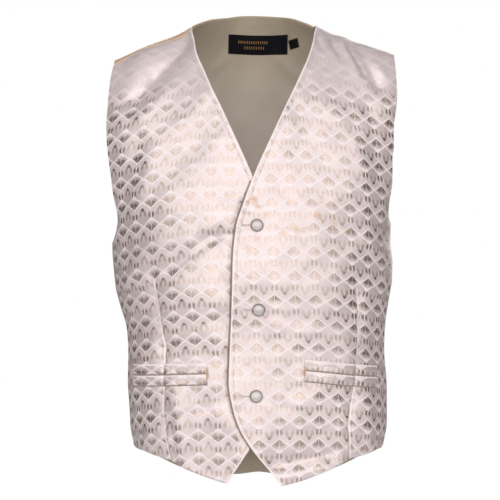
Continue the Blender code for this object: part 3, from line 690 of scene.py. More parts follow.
net_group, given, end = new_group(
    "scale_net",
    [("Across", FLOAT, 0.0), ("Up", FLOAT, 0.0)],
    [(name, FLOAT) for name in ("From Stem", "From Knot", "Height", "Line", "Scale")],
)
from_stem = given["Across"].wrapped(-REPEAT_WIDTH / 2, REPEAT_WIDTH / 2)
from_knot = (given["Across"] + REPEAT_WIDTH / 2).wrapped(-REPEAT_WIDTH / 2, REPEAT_WIDTH / 2)
up = given["Up"].wrapped(CAP_HEIGHT - REPEAT_HEIGHT, CAP_HEIGHT)
share = abs(from_stem) * (2 / REPEAT_WIDTH)
quarter_turn = share * (math.pi / 2)
lower = (quarter_turn.sine() * 0.6 + share * 0.4) * KNOT_HEIGHT
upper = CAP_HEIGHT - (share + 1.0 - quarter_turn.cosine()) * ((CAP_HEIGHT - KNOT_HEIGHT) / 2)
beyond = up.above(upper)
height = up - beyond * REPEAT_HEIGHT
off_lower = abs(up - lower) * 0.74
off_upper = abs(up - upper).smaller(abs(up + REPEAT_HEIGHT - upper)) * 0.82
near_cap = abs(from_stem).fall(2.5, 5.5)
net_line = off_lower.fall(0.45, 1.2).larger((off_upper - near_cap * 1.1).fall(0.45, 1.2))
stem_line = abs(from_stem).fall(0.25, 0.9) * up.fall(-0.2, 0.6)
leaf = ((0.0 - up).larger(0.01).smaller(13.8) * (math.pi / 13.8)).sine().larger(0.0) ** 0.7 * 6.2
leaf_line = abs(abs(from_stem) - leaf).fall(0.35, 1.1) * up.fall(-0.8, 0.0) * up.rise(-13.6, -12.0)
net_line = net_line.larger(stem_line * 0.7).larger(leaf_line * 0.5)
in_scale = up.above(lower) * (1.0 - beyond)
for name, value in (
    ("From Stem", from_stem),
    ("From Knot", from_knot),
    ("Height", height),
    ("Line", net_line),
    ("Scale", in_scale),
):
    set_input(net_group, end.inputs[name], value)
print("net:", len(net_group.nodes), "nodes")

# %% [markdown]
# ## The fans in the net
# A fan stands on each stem and fills its scale: two dark lobes with a cream vein between them,
# paling outwards to a grey petal. Below each knot hangs a narrow one with two legs, and a leaf with
# a dark tip on both sides of its midrib hangs from each stem. Each shape is drawn from its stem, by
# the distance from it and the angle off its middle line.

# %% Group: the figure
fan_group, given, end = new_group(
    "fan_figure",
    [("Cloth", VECTOR, None), ("Upright", FLOAT, 1.0)],
    [("Dark", FLOAT), ("Petal", FLOAT), ("Line", FLOAT)],
)
cloth_x, cloth_y, _ = parts_of(fan_group, given["Cloth"])
wander = noise(fan_group, given["Cloth"], 300.0, 3.0) - 0.5
net = place_group(
    fan_group,
    net_group,
    {
        "Across": cloth_x * 1000.0 + wander * 2.6,
        "Up": cloth_y * 1000.0 * given["Upright"] + wander * 2.0,
    },
)
x = abs(net["From Stem"])
y = net["Height"]
reach = (x * x + y * y + 0.0001).root()
turn = x.angle_from(y) / 0.95
rim = (turn * math.pi).sine().larger(0.0) * 4.5 + 9.5
lobes = turn.fall(0.88, 1.02) * reach.rise(0.2, 1.2) * (reach / rim).fall(0.68, 1.18)
vein = x.rise(0.25, 0.85) * (abs(turn - 0.50).rise(0.02, 0.09) * 0.35 + 0.65)
standing = lobes * vein * net["Scale"]
x = abs(net["From Knot"])
y = 4.0 - net["Height"]
reach = (x * x + y * y + 0.0001).root()
turn = x.angle_from(y) / 0.62
legs = turn.fall(0.75, 1.05) * reach.rise(1.0, 3.0) * reach.fall(12.0, 17.5)
gap = 1.0 - reach.rise(5.5, 8.5) * turn.fall(0.12, 0.34)
hanging = legs * gap * (reach.fall(4.0, 8.0) * 0.35 + 0.65) * (1.0 - net["Scale"])
leaf_x = abs(net["From Stem"])
leaf_y = net["Height"]
leaf_tip = leaf_x.rise(0.6, 1.3) * leaf_x.fall(4.0, 5.6) * leaf_y.rise(-13.2, -11.6)
leaf_tip = leaf_tip * leaf_y.fall(-7.0, -2.0)
dark = standing.larger(hanging).larger(leaf_tip * 0.9) * (1.0 - net["Line"])
petal = net["Scale"] * net["Height"].fall(6.0, 17.0)
below = (1.0 - net["Scale"]) * net["Height"].fall(-16.0, -2.0) * net["Height"].rise(-23.0, -15.0)
petal = petal.larger(below * 0.7) * (1.0 - net["Line"])
for name, value in (("Dark", dark), ("Petal", petal), ("Line", net["Line"])):
    set_input(fan_group, end.inputs[name], value)
print("figure:", len(fan_group.nodes), "nodes")

# %% [markdown]
# ## Threads and wear
# All these cloths are satins, so they share two effects. One is the thread: long warp floats that
# give fine upright streaks and a small tilt from thread to thread. The other is age: clouds of
# slightly deeper colour. The age group also gives small specks, which no cloth reads.

# %% Groups: satin threads and age
thread_group, given, end = new_group(
    "satin_threads",
    [("Cloth", VECTOR, None), ("Thread", FLOAT, 0.0004)],
    [("Height", FLOAT), ("Streak", FLOAT)],
)
weft, warp, _ = parts_of(thread_group, given["Cloth"])
threads_across = weft / given["Thread"]
threads_up = warp / given["Thread"]
rib = (threads_across * (2 * math.pi)).sine()
float_ends = ((threads_across + threads_up * 0.2) * (2 * math.pi * 0.4)).sine()
STREAK_SCALE = (900.0, 22.0, 1.0)
long_way = add_node(
    thread_group, "ShaderNodeMapping", {"Vector": given["Cloth"], "Scale": STREAK_SCALE}
)
set_input(thread_group, end.inputs["Height"], rib + float_ends * 0.5)
set_input(thread_group, end.inputs["Streak"], noise(thread_group, long_way.outputs[0], 1.0, 3.0))

age_group, given, end = new_group(
    "cloth_age",
    [("Place", VECTOR, None), ("Scale", FLOAT, 14.0)],
    [("Cloud", FLOAT), ("Speck", FLOAT)],
)
cloud = noise(age_group, given["Place"], given["Scale"], 4.0).rise(0.38, 0.68)
set_input(age_group, end.inputs["Cloud"], cloud)
set_input(age_group, end.inputs["Speck"], noise(age_group, given["Place"], 170.0).rise(0.66, 0.76))

# %% [markdown]
# ## Stains
# The real cloth has a scatter of old tea-brown marks beside the top button. Each is a soft spot at
# its place on the cloth, in metres, with its radius and strength; noise frays the spots' edges.

# %% Group: stains
# x, z, radius, strength
STAINS = (
    (0.0011, -0.2367, 0.0085, 1.00), (0.0065, -0.2470, 0.0080, 0.60),
    (0.0155, -0.2560, 0.0075, 0.45), (0.0050, -0.2880, 0.0080, 0.40),
    (-0.0072, -0.3002, 0.0080, 0.35), (0.0390, -0.2817, 0.0085, 0.40),
    (0.0560, -0.2770, 0.0080, 0.45), (0.0666, -0.2758, 0.0075, 0.55),
    (0.0850, -0.2580, 0.0085, 0.60), (0.1062, -0.2678, 0.0080, 0.60),
    (0.0898, -0.2417, 0.0080, 0.35), (0.1250, -0.2783, 0.0095, 0.35),
)
stain_group, given, end = new_group("stains", [("Place", VECTOR, None)], [("Stain", FLOAT)])
place_x, _, place_z = parts_of(stain_group, given["Place"])
fray = noise(stain_group, given["Place"], 260.0, 3.0)
total = fray * 0.0
for x0, z0, radius, strength in STAINS:
    dx = place_x - x0
    dz = place_z - z0
    far = (dx * dx + dz * dz).root() + fray * (radius * 1.3)
    total = total + far.fall(radius * 0.4, radius * 1.6) * strength
set_input(stain_group, end.inputs["Stain"], total)
print("stains:", len(STAINS))

# %% [markdown]
# ## The figured satin
# In this cloth the ground is matt ivory and the fans are woven with the shiny side out. Seen
# square on, the fans mirror the lamp and all but vanish; where the cloth turns away they mirror the
# dark of the room and stand out brown. A nearly metallic fan colour does just that, with no
# painting of light. The lines of the net stay pale from every side. On the shoulders the figure is
# faded nearly away by height, as painted sheen: it stands in for the weave's sheen hiding the
# figure where the cloth tilts up to the light. Slow noise in the bump gives the cloth its small
# puckers. Three distances that the fronts and lips carry place painted light and shade: a painted
# highlight along pressed edges and on the dart's seam, and painted shadow beside the dart, along
# the line where one front lies on the other and along the pocket lips.

# %% Figured satin
GROUND = (0.77, 0.685, 0.68, 1.0)
GROUND_SHADE = (0.69, 0.615, 0.62, 1.0)
PETAL = (0.68, 0.61, 0.605, 1.0)
FAN = (0.53, 0.43, 0.38, 1.0)
NET_LINE = (0.86, 0.785, 0.775, 1.0)
STAIN = (0.60, 0.34, 0.17, 1.0)
# Colours of the painted highlight and the painted shadow along edges, dart and lap.
PAINTED_HIGHLIGHT = (0.95, 0.865, 0.83, 1.0)
PAINTED_SHADOW = (0.24, 0.165, 0.145, 1.0)
GROUND_METAL = 0.33
PETAL_METAL = 0.55
FAN_METAL = 0.90
GROUND_ROUGHNESS = 0.40
FAN_ROUGHNESS = 0.22
PUCKER_RELIEF = 4.5


def new_material(name):
    """An empty material: its tree, its Principled shader and its places and cloth lengths."""
    material = bpy.data.materials.new(name)
    material.use_nodes = True
    tree = material.node_tree
    shader = tree.nodes["Principled BSDF"]
    place = add_node(tree, "ShaderNodeTexCoord").outputs["Object"]
    cloth = add_node(tree, "ShaderNodeUVMap", uv_map="cloth").outputs["UV"]
    return material, tree, shader, place, cloth


def bumped(tree, shader, height, distance, strength=1.0):
    """Feeds a height, in shares of a distance, to the shader's normal."""
    inputs = {"Height": height, "Distance": distance, "Strength": strength}
    node = add_node(tree, "ShaderNodeBump", inputs)
    tree.links.new(node.outputs["Normal"], shader.inputs["Normal"])


def figured_satin(name, upright):
    """The jacquard satin, with its fans upright or upside down."""
    material, tree, shader, place, cloth = new_material(name)
    figure = place_group(tree, fan_group, {"Cloth": cloth, "Upright": upright})
    threads = place_group(tree, thread_group, {"Cloth": cloth, "Thread": 0.00045})
    age = place_group(tree, age_group, {"Place": place, "Scale": 11.0})
    stain = place_group(tree, stain_group, {"Place": place})["Stain"].smaller(0.8)
    # Painted sheen: high on the shoulders the figure, its petals and its net lines fade by height,
    # standing in for the weave's sheen hiding the figure where the cloth tilts up to the light.
    painted_shoulder_sheen = parts_of(tree, place)[2].rise(-0.125, -0.065) * 0.85
    dark = figure["Dark"] * (1.0 - painted_shoulder_sheen) * (1.0 - age["Cloud"] * 0.15)
    petal = figure["Petal"] * (1.0 - painted_shoulder_sheen)
    line = figure["Line"] * (1.0 - painted_shoulder_sheen * 0.75) * (1.0 - age["Cloud"] * 0.45)
    shade = age["Cloud"] * 0.4 + threads["Streak"] * 0.25
    colour = mixed(tree, shade, GROUND, GROUND_SHADE)
    colour = mixed(tree, petal * 0.75, colour, PETAL)
    colour = mixed(tree, line, colour, NET_LINE)
    colour = mixed(tree, dark, colour, FAN)
    colour = mixed(tree, stain, colour, STAIN)
    edge, dart, crease = [
        Value(tree, add_node(tree, "ShaderNodeAttribute", attribute_name=label).outputs["Fac"])
        for label in ("edge", "dart", "crease")
    ]
    # Painted highlight: a pale line along each pressed edge and along the dart's seam.
    painted_lines = edge.fall(0.0014, 0.0026).larger(abs(dart).fall(0.0004, 0.0012))
    colour = mixed(tree, painted_lines * 0.9, colour, PAINTED_HIGHLIGHT)
    # Painted shadow: a dark line where one front lies on the other and along the pocket lips, and a
    # fainter dark band beside the dart.
    shadowed = abs(crease).fall(0.0008, 0.0021) * 0.8
    shadowed = shadowed.larger(abs(dart - 0.0024).fall(0.0004, 0.0018) * 0.22)
    colour = mixed(tree, shadowed, colour, PAINTED_SHADOW)
    # From here the painted lines hold both the painted highlight and the painted shadow, and both take
    # away most of the metal.
    painted_lines = painted_lines.larger(shadowed)
    set_input(tree, shader.inputs["Base Color"], colour)
    metal = petal * 0.7 * (PETAL_METAL - GROUND_METAL) + GROUND_METAL
    metal = metal.larger(dark * FAN_METAL) * (1.0 - line.larger(painted_lines) * 0.9)
    set_input(tree, shader.inputs["Metallic"], metal * (1.0 - stain * 0.6))
    shine = dark.larger(petal * 0.5)
    roughness = shine * (FAN_ROUGHNESS - GROUND_ROUGHNESS) + GROUND_ROUGHNESS
    set_input(tree, shader.inputs["Roughness"], roughness + threads["Streak"] * 0.05)
    shader.inputs["Sheen Weight"].default_value = 0.08
    shader.inputs["Sheen Roughness"].default_value = 0.35
    ridge = abs(edge - 0.0058).fall(0.0003, 0.0011)
    relief = line * 0.4 - dark * 0.12 + threads["Height"] * 0.06 + ridge * 1.2
    bumped(tree, shader, relief + noise(tree, place, 36.0, 2.0) * PUCKER_RELIEF, 0.00025)
    return material


satin_upright = figured_satin("figured satin, fans up", 1.0)
satin_turned = figured_satin("figured satin, fans down", -1.0)

# %% [markdown]
# ## The plain cloths
# The back is a champagne satin, the lining a greyed beige one, the buttons are covered in a pale
# plain satin and the label is a black ribbon weave. They come from one recipe: two colours mixed
# by cloud and streak, a roughness, and the thread's fine relief. As painted light, the lining is
# paler between neck and hem than at either end, and as painted shade the buttons are darker round
# the rim.

# %% Plain satins, ribbon and threads
def plain_satin(
    name, light, deep, roughness, metal, painted_light=None, rim=None, shine=0.5, thread=0.0004, relief=0.00003
):
    """A satin with no figure; with painted light below the neck or painted shade at the rim where a
    colour is given.
    """
    material, tree, shader, place, cloth = new_material(name)
    threads = place_group(tree, thread_group, {"Cloth": cloth, "Thread": thread})
    age = place_group(tree, age_group, {"Place": place, "Scale": 12.0})
    colour = mixed(tree, age["Cloud"] * 0.45 + threads["Streak"] * 0.4, light, deep)
    # Painted light: the lining is paler well below the neck and above the hem, standing in for light
    # inside the back.
    if painted_light:
        below_neck = 0.0 - parts_of(tree, place)[2]
        painted_light_share = below_neck.rise(-0.02, 0.22) * below_neck.fall(0.42, 0.56)
        colour = mixed(tree, painted_light_share, colour, painted_light)
    # Painted shade: a darker ring round the rim stands in for shade where the cover turns away.
    if rim:
        across, up, _ = parts_of(tree, cloth)
        radius = (across * across + up * up).root()
        colour = mixed(tree, radius.rise(0.0060, 0.0079) * 0.8, colour, rim)
    set_input(tree, shader.inputs["Base Color"], colour)
    set_input(tree, shader.inputs["Roughness"], threads["Streak"] * 0.12 + (roughness - 0.06))
    shader.inputs["Metallic"].default_value = metal
    shader.inputs["Specular IOR Level"].default_value = shine
    shader.inputs["Sheen Weight"].default_value = 0.2 * shine
    shader.inputs["Sheen Roughness"].default_value = 0.4
    bumped(tree, shader, threads["Height"], relief)
    return material


def thread_material(name, colour, roughness=0.55):
    """Twisted sewing thread: its ply shows as fine slanting bands."""
    material, tree, shader, place, _ = new_material(name)
    place_x, _, place_z = parts_of(tree, place)
    ply = ((place_x + place_z) * (2 * math.pi / 0.0007)).sine()
    deep = tuple(0.72 * part for part in colour[:3]) + (1.0,)
    set_input(tree, shader.inputs["Base Color"], mixed(tree, ply * 0.5 + 0.5, colour, deep))
    shader.inputs["Roughness"].default_value = roughness
    shader.inputs["Sheen Weight"].default_value = 0.2
    bumped(tree, shader, ply, 0.00005)
    return material


CHAMPAGNE = ((0.96, 0.70, 0.50, 1), (0.80, 0.55, 0.37, 1))
GREY_BEIGE = ((0.43, 0.375, 0.28, 1), (0.375, 0.325, 0.24, 1))
# The colour of the lining's painted light.
PALE_BEIGE = (0.91, 0.835, 0.755, 1)
FACING_BEIGE = ((0.62, 0.55, 0.50, 1), (0.52, 0.46, 0.42, 1))
BUTTON_GREY = ((0.70, 0.67, 0.65, 1), (0.60, 0.57, 0.55, 1))
# The colour of the buttons' painted rim shade.
RIM_SHADE = (0.17, 0.13, 0.11, 1)
BLACK = ((0.004, 0.004, 0.006, 1), (0.009, 0.009, 0.012, 1))
back_satin = plain_satin("champagne satin", *CHAMPAGNE, 0.34, 0.32)
lining_satin = plain_satin("lining satin", *GREY_BEIGE, 0.50, 0.05, painted_light=PALE_BEIGE)
facing_satin = plain_satin("facing satin", *FACING_BEIGE, 0.45, 0.10)
button_satin = plain_satin("button satin", *BUTTON_GREY, 0.34, 0.45, rim=RIM_SHADE)
ribbon = plain_satin("label ribbon", *BLACK, 0.60, 0.0, shine=0.1, thread=0.0006, relief=0.00006)
ivory_thread = thread_material("ivory thread", (0.84, 0.75, 0.70, 1.0))
peach_thread = thread_material("peach thread", (0.80, 0.56, 0.38, 1.0))
black_thread = thread_material("black thread", (0.015, 0.014, 0.018, 1.0))
ochre_thread = thread_material("ochre thread", (0.42, 0.24, 0.07, 1.0))
print("materials:", len(bpy.data.materials))

# %% [markdown]
# ## Shells
# A panel's shell has an outer face, an inner face that shows the lining, and a turned edge. A
# pressed edge is round, so both faces stop a little short of the outline and a line of points at
# half the thickness carries the outline itself; smooth shading does the rest.

# %% Build a shell
EDGE_ROUNDING = 0.0007


def inward(grid):
    """Unit steps from each edge point of a grid towards the inside, and 0 elsewhere."""
    step = np.zeros_like(grid)
    for edge, inside in (
        (np.s_[0], np.s_[1]),
        (np.s_[-1], np.s_[-2]),
        (np.s_[:, 0], np.s_[:, 1]),
        (np.s_[:, -1], np.s_[:, -2]),
    ):
        way = grid[inside] - grid[edge]
        step[edge] += way / np.linalg.norm(way, axis=-1, keepdims=True)
    return step


def grid_quads(rows, columns):
    """Faces of a shell: outer, inner, and the turned edge, with a mark for each face's part."""
    index = np.arange(rows * columns).reshape(rows, columns)
    count = rows * columns
    a, b = index[:-1, :-1].ravel(), index[:-1, 1:].ravel()
    c, d = index[1:, 1:].ravel(), index[1:, :-1].ravel()
    outer = np.stack([a, d, c, b], axis=1)
    inner = np.stack([a, b, c, d], axis=1) + count
    rim = np.concatenate([index[0, :-1], index[:-1, -1], index[-1, :0:-1], index[:0:-1, 0]])
    line = 2 * count + np.arange(len(rim))
    rim_next, line_next = np.roll(rim, -1), np.roll(line, -1)
    near = np.stack([rim, rim_next, line_next, line], axis=1)
    far = np.stack([line, line_next, rim_next + count, rim + count], axis=1)
    faces = np.concatenate([outer, inner, near, far])
    part = np.repeat([0, 1, 0, 0], [len(outer), len(inner), len(near), len(far)])
    return faces, part, rim


def add_mesh(name, points, faces, materials, parts=None, flat=None, distances=None):
    """A smooth mesh object, with its cloth lengths as a UV map and distances from its lines."""
    mesh = bpy.data.meshes.new(name)
    mesh.from_pydata(np.asarray(points).tolist(), [], [list(map(int, face)) for face in faces])
    for material in materials:
        mesh.materials.append(material)
    if parts is not None:
        mesh.polygons.foreach_set("material_index", np.asarray(parts, dtype=np.int32))
    if flat is not None:
        corners = np.empty(len(mesh.loops), dtype=np.int32)
        mesh.loops.foreach_get("vertex_index", corners)
        layer = mesh.uv_layers.new(name="cloth")
        layer.data.foreach_set("uv", np.asarray(flat, dtype=np.float32)[corners].ravel())
    for label, values in (distances or {}).items():
        attribute = mesh.attributes.new(label, "FLOAT", "POINT")
        attribute.data.foreach_set("value", np.asarray(values, dtype=np.float32))
    mesh.shade_smooth()
    mesh.validate()
    piece = bpy.data.objects.new(name, mesh)
    bpy.context.scene.collection.objects.link(piece)
    return piece


def on_shell(values, rim):
    """A grid's values for the outer face, the inner face and the turned edge of its shell."""
    values = values.reshape(-1, *values.shape[2:])
    return np.concatenate([values, values, values[rim]])


def add_shell(name, outer, normals, flat, thickness, materials, turned, distances=None):
    """A panel's shell from the grid of its outer face."""
    inner = outer - thickness * normals
    inset = EDGE_ROUNDING * inward(outer)
    faces, parts, rim = grid_quads(*outer.shape[:2])
    if turned:
        faces = faces[:, ::-1]
    middle = ((outer + inner) / 2).reshape(-1, 3)[rim]
    faces_in_space = [(wall + inset).reshape(-1, 3) for wall in (outer, inner)]
    points = np.concatenate([*faces_in_space, middle])
    distances = {label: on_shell(values, rim) for label, values in (distances or {}).items()}
    return add_mesh(name, points, faces, materials, parts, on_shell(flat, rim), distances)


def facets(grid):
    """A tree for casting rays at a grid's surface."""
    rows, columns = grid.shape[:2]
    faces = grid_quads(rows, columns)[0][: (rows - 1) * (columns - 1)]
    return BVHTree.FromPolygons(grid.reshape(-1, 3).tolist(), faces.tolist())


def flat_area(piece):
    """Half of a closed shell's surface, in square metres."""
    return sum(face.area for face in piece.data.polygons) / 2


# %% [markdown]
# ## The two fronts
# The fronts are cut from the figured satin, and the wearer's left one laps over the right one.
# Where they lap they step apart, or the two shells would cut through each other. The upper edge is
# rolled up a little, and the under front sinks in along it. The weave hangs a little lower towards
# the sides, as it does when a shaped chest takes up the cloth, and beyond the dart it is set off
# by the width that the dart took out.

# %% Make the fronts
FRONT_THICKNESS = 0.0020
LAP_OFFSET = 0.00135
LAP_FADE = 0.038
LAP_COVER = 0.003
EDGE_ROLL = 0.0011
EDGE_ROLL_WIDTH = 0.006
CHANNEL_DEPTH = 0.0028
CHANNEL_WIDTH = 0.0055
SIDE_DROOP = 0.13
DROOP_STARTS = 0.085
DART_TAKES = 0.009
REPEAT_ANCHOR = {WEARERS_RIGHT: (-0.1340, -0.2483), WEARERS_LEFT: (0.1510, -0.2440)}
FAR = 1.0
CREASE_SHIFT = 0.0014
CREASE_STARTS = -0.212
ROWS_TO_WAIST = 17
ROWS_BELOW = 14
FRONT_COLUMNS = 20
FRONT_PASSES = 120


def lap_offset(side, points):
    """The wearer's left front stands out and the right one sinks in where they lap."""
    x = points[..., 0]
    z = points[..., 2]
    left_edge = front_edge_at(z)
    if side == WEARERS_LEFT:
        inside = 2 * mirror_line_at(z) - left_edge - x
    else:
        inside = x - left_edge
    offset = side * LAP_OFFSET * smooth_step((inside + LAP_COVER + LAP_FADE) / LAP_FADE)
    if side == WEARERS_LEFT:
        return offset + EDGE_ROLL * smooth_step(1 - (x - left_edge) / EDGE_ROLL_WIDTH)
    lapped = smooth_step((-0.215 - z) / 0.035)
    return offset - CHANNEL_DEPTH * lapped * np.exp(-((left_edge - x) / CHANNEL_WIDTH) ** 2)


def inside_edge(side, points):
    """How far inside of its own front edge each point lies."""
    z = points[..., 2]
    if side == WEARERS_LEFT:
        level = points[..., 0] - front_edge_at(z)
    else:
        level = 2 * mirror_line_at(z) - front_edge_at(z) - points[..., 0]
    slope = (front_edge_at(z + 4 * MM) - front_edge_at(z - 4 * MM)) / (8 * MM)
    return np.maximum(level, 0) / np.sqrt(1 + slope**2)


def lap_crease(side, points):
    """How far each point lies from the lap's line of painted shadow, far from it on the lapping front.
    """
    z = points[..., 2]
    if side == WEARERS_LEFT:
        return np.full(z.shape, FAR)
    off = front_edge_at(z) - CREASE_SHIFT - points[..., 0]
    return np.where(z < CREASE_STARTS, off, FAR)


def dart_distance(side, points):
    """How far outside of its dart each point lies, far from it above the dart's point."""
    off, fade = dart_off(side, points)
    return np.where(fade > 0.1, off, FAR)


def front_lines(side):
    """The inner, outer, top and bottom lines of one front."""
    heights = np.linspace(-NECK_MARGIN, FRONT_EDGE[-1][0], 3 * DENSE)
    edge_x = front_edge_at(heights)
    if side == WEARERS_RIGHT:
        edge_x = 2 * mirror_line_at(heights) - edge_x
    edge = place_seen(edge_x, heights)
    seam = SEAM_AHEAD_OF_RIDGE[side]
    corner = edge[np.argmax(edge[:, 1] < shoulder_course(edge[:, 0], seam, FRONT))]
    edge = edge[edge[:, 1] <= corner[1]]
    shoulder = shoulder_places(corner[0], side, seam, FRONT)
    split = ROWS_TO_WAIST / (ROWS_TO_WAIST + ROWS_BELOW)
    seam_angle = side * SIDE_SEAM_ANGLE
    inner, outer, hem = panel_lines(
        side, FRONT, FRONT_ARMHOLE, hem_at, seam_angle, edge, shoulder, split
    )
    return inner, outer, line_of(FRONT, shoulder), hem


def front_cloth(side, places, points):
    """Weft and warp lengths from the anchor of the repeat, hung lower at the side."""
    anchor = place_seen(*(np.array([value]) for value in REPEAT_ANCHOR[side]))
    flat = measured_flat(FRONT, places)
    start = measured_flat(FRONT, anchor)[0]
    droop = SIDE_DROOP * np.maximum(np.abs(flat[..., 0]) - DROOP_STARTS, 0)
    droop -= SIDE_DROOP * max(abs(start[0]) - DROOP_STARTS, 0)
    off, fade = dart_off(side, points)
    beyond = fade * smooth_step(0.5 + off / 0.002) * side * DART_TAKES
    return np.stack([flat[..., 0] - start[0] + beyond, flat[..., 1] - start[1] + droop], axis=-1)


fronts = {}
for side, name, material in (
    (WEARERS_RIGHT, "front_right_cloth", satin_upright),
    (WEARERS_LEFT, "front_left_cloth", satin_turned),
):
    places = panel_grid(front_lines(side), ROWS_TO_WAIST + ROWS_BELOW, FRONT_COLUMNS, FRONT_PASSES)
    points = body_point(FRONT, places[..., 0], places[..., 1])
    normals = body_normals(FRONT, places)
    flat = front_cloth(side, places, points)
    offset = fold_height(points, LARGE_FOLDS) + lap_offset(side, points)
    ease = 1 - smooth_step((0.5 * LAP_FADE - np.abs(points[..., 0])) / LAP_FADE + 0.5)
    offset += (fold_height(points, FINE_FOLDS) + wave_height(points, flat)) * (0.35 + 0.65 * ease)
    offset += dart_height(side, points)
    outer = points + offset[..., None] * normals
    distances = {
        "edge": inside_edge(side, points),
        "dart": dart_distance(side, points),
        "crease": lap_crease(side, points),
    }
    piece = add_shell(
        name, outer, normals, flat, FRONT_THICKNESS, (material, facing_satin), side < 0, distances
    )
    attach(piece, "root")
    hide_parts("front_right" if side < 0 else "front_left")
    fronts[side] = {"piece": piece, "tree": facets(outer), "flat": flat, "outer": outer}
    print(name, "quads:", len(piece.data.polygons), "area:", round(flat_area(piece), 4))

# %% [markdown]
# ## The back and its lining
# The back is one piece of champagne satin that comes forward over the shoulders to the seams, and
# its lining is the cloth that shows inside the neck and in the notch of the hem. The lining has a
# band round the neck: a low step in the cloth a thumb's width below the edge.

# %% Make the back and the lining
BACK_THICKNESS = 0.0014
LINING_THICKNESS = 0.0010
BACK_ROWS = 24
BACK_ROWS_TO_WAIST = 14
BACK_PASSES = 45
ROWS_NEAR_NECK = 60
NECK_STEPS = 8
SHOULDER_STEPS = 7
CENTRE_SEAM_HALF_WIDTH = 0.0014
CENTRE_SEAM_DEPTH = 0.0006
BAND_WIDTH = 0.016
BAND_STEP = 0.00035
BAND_EDGE = 0.0012


def back_lines(side):
    """The inner, outer, top and bottom lines of half a back."""
    neck_x = side * np.linspace(0.0, NECK_HALF_WIDTH - NECK_MARGIN, DENSE)
    neck = place_seen(neck_x, back_neck_at(np.abs(neck_x)))
    neck[0, 0] = 0.0
    seam = SEAM_AHEAD_OF_RIDGE[side] - SEAM_GAP
    corner = neck[-1, 0]
    neck_end = shoulder_course(np.array([corner]), seam, BACK)[0]
    neck = np.concatenate([neck, straight((corner,) * 2, (neck[-1, 1], neck_end))[1:]])
    shoulder = shoulder_places(corner, side, seam, BACK)
    seam_angle = side * (180 - SIDE_SEAM_ANGLE - SEAM_GAP / METRES_PER_DEGREE_AT_SIDE)
    centre = straight((0.0, 0.0), (neck[0, 1], back_hem_at(0.0)))
    neck_share = NECK_STEPS / (NECK_STEPS + SHOULDER_STEPS)
    top = line_of_two(line_of(BACK, neck), line_of(BACK, shoulder), neck_share)
    split = BACK_ROWS_TO_WAIST / BACK_ROWS
    inner, outer, hem = panel_lines(
        side, BACK, BACK_ARMHOLE, back_hem_at, seam_angle, centre, shoulder, split
    )
    return inner, outer, top, hem


halves = [
    panel_grid(back_lines(side), BACK_ROWS, NECK_STEPS + SHOULDER_STEPS, BACK_PASSES)
    for side in (WEARERS_RIGHT, WEARERS_LEFT)
]
back_places = np.concatenate([halves[0][:, :0:-1], halves[1]], axis=1)
back_points = body_point(BACK, back_places[..., 0], back_places[..., 1])
back_normals = body_normals(BACK, back_places)
back_flat = measured_flat(BACK, back_places)
back_offset = fold_height(back_points, LARGE_FOLDS)
fine_offset = fold_height(back_points, FINE_FOLDS) + wave_height(back_points, back_flat)
centre_seam = -CENTRE_SEAM_DEPTH * np.exp(-((back_points[..., 0] / CENTRE_SEAM_HALF_WIDTH) ** 2))
back_outer = back_points + (back_offset + fine_offset + centre_seam)[..., None] * back_normals
cloths = (back_satin, lining_satin)
back = add_shell(
    "back_cloth", back_outer, back_normals, back_flat, BACK_THICKNESS, cloths, turned=True
)
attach(back, "root")
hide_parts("back")

neck_edge = back_points[0, :, :]
below_neck = np.full(back_points.shape[:2], 1.0)
for row in range(ROWS_NEAR_NECK):
    gaps = np.linalg.norm(back_points[row][:, None, :] - neck_edge[None, :, :], axis=-1)
    near_neck = np.abs(neck_edge[:, 0]) < NECK_HALF_WIDTH
    below_neck[row] = gaps[:, near_neck].min(axis=1)
band = BAND_STEP * (1 - smooth_step((below_neck - BAND_WIDTH) / BAND_EDGE + 0.5))
skin_offset = back_offset + fine_offset - (BACK_THICKNESS + SEAM_GAP)
lining_skin = back_points + skin_offset[..., None] * back_normals
lining_wall = (LINING_THICKNESS + band)[..., None]
lining_inner = lining_skin - lining_wall * back_normals
cloths = (lining_satin, lining_satin)
lining = add_shell(
    "lining_cloth", lining_skin, back_normals, back_flat, lining_wall, cloths, turned=True
)
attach(lining, "root")
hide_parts("back_lining")
lining_tree = facets(lining_inner)
print("back area:", round(flat_area(back), 4), "lining area:", round(flat_area(lining), 4))

# %% [markdown]
# ## Pocket lips
# A double-lip pocket is a slit with a folded strip along each side. Each lip is a small pad: sewn
# down hard along its outer edge, plump in the middle and rolled over at the mouth. The lips are
# laid on the front by casting rays at it, so they follow its folds.

# %% Make the pocket lips
# name, side, x and z of the inner end, x and z of the outer end
POCKETS = (
    ("right", WEARERS_RIGHT, -0.0605, -0.4660, -0.1600, -0.4705),
    ("left", WEARERS_LEFT, 0.0680, -0.4616, 0.1650, -0.4725),
)
LIP_WIDTH = 0.0145
LIP_MOUTH_GAP = 0.0006
LIP_THICKNESS = 0.0018
LIP_SEAT = 0.0002
TRIM_GAP = 0.0005
LIP_COLUMNS = 120
LIP_ROWS = 20
LIP_CUT_OFF = (0.006, 0.0045)


def point_on(tree, x, z):
    """Where a line along Y through x, z meets a surface, with the normal towards the front."""
    hit, normal, _, _ = tree.ray_cast(Vector((x, -0.5, z)), Vector((0, 1, 0)))
    if normal.y > 0:
        normal.negate()
    return hit, normal


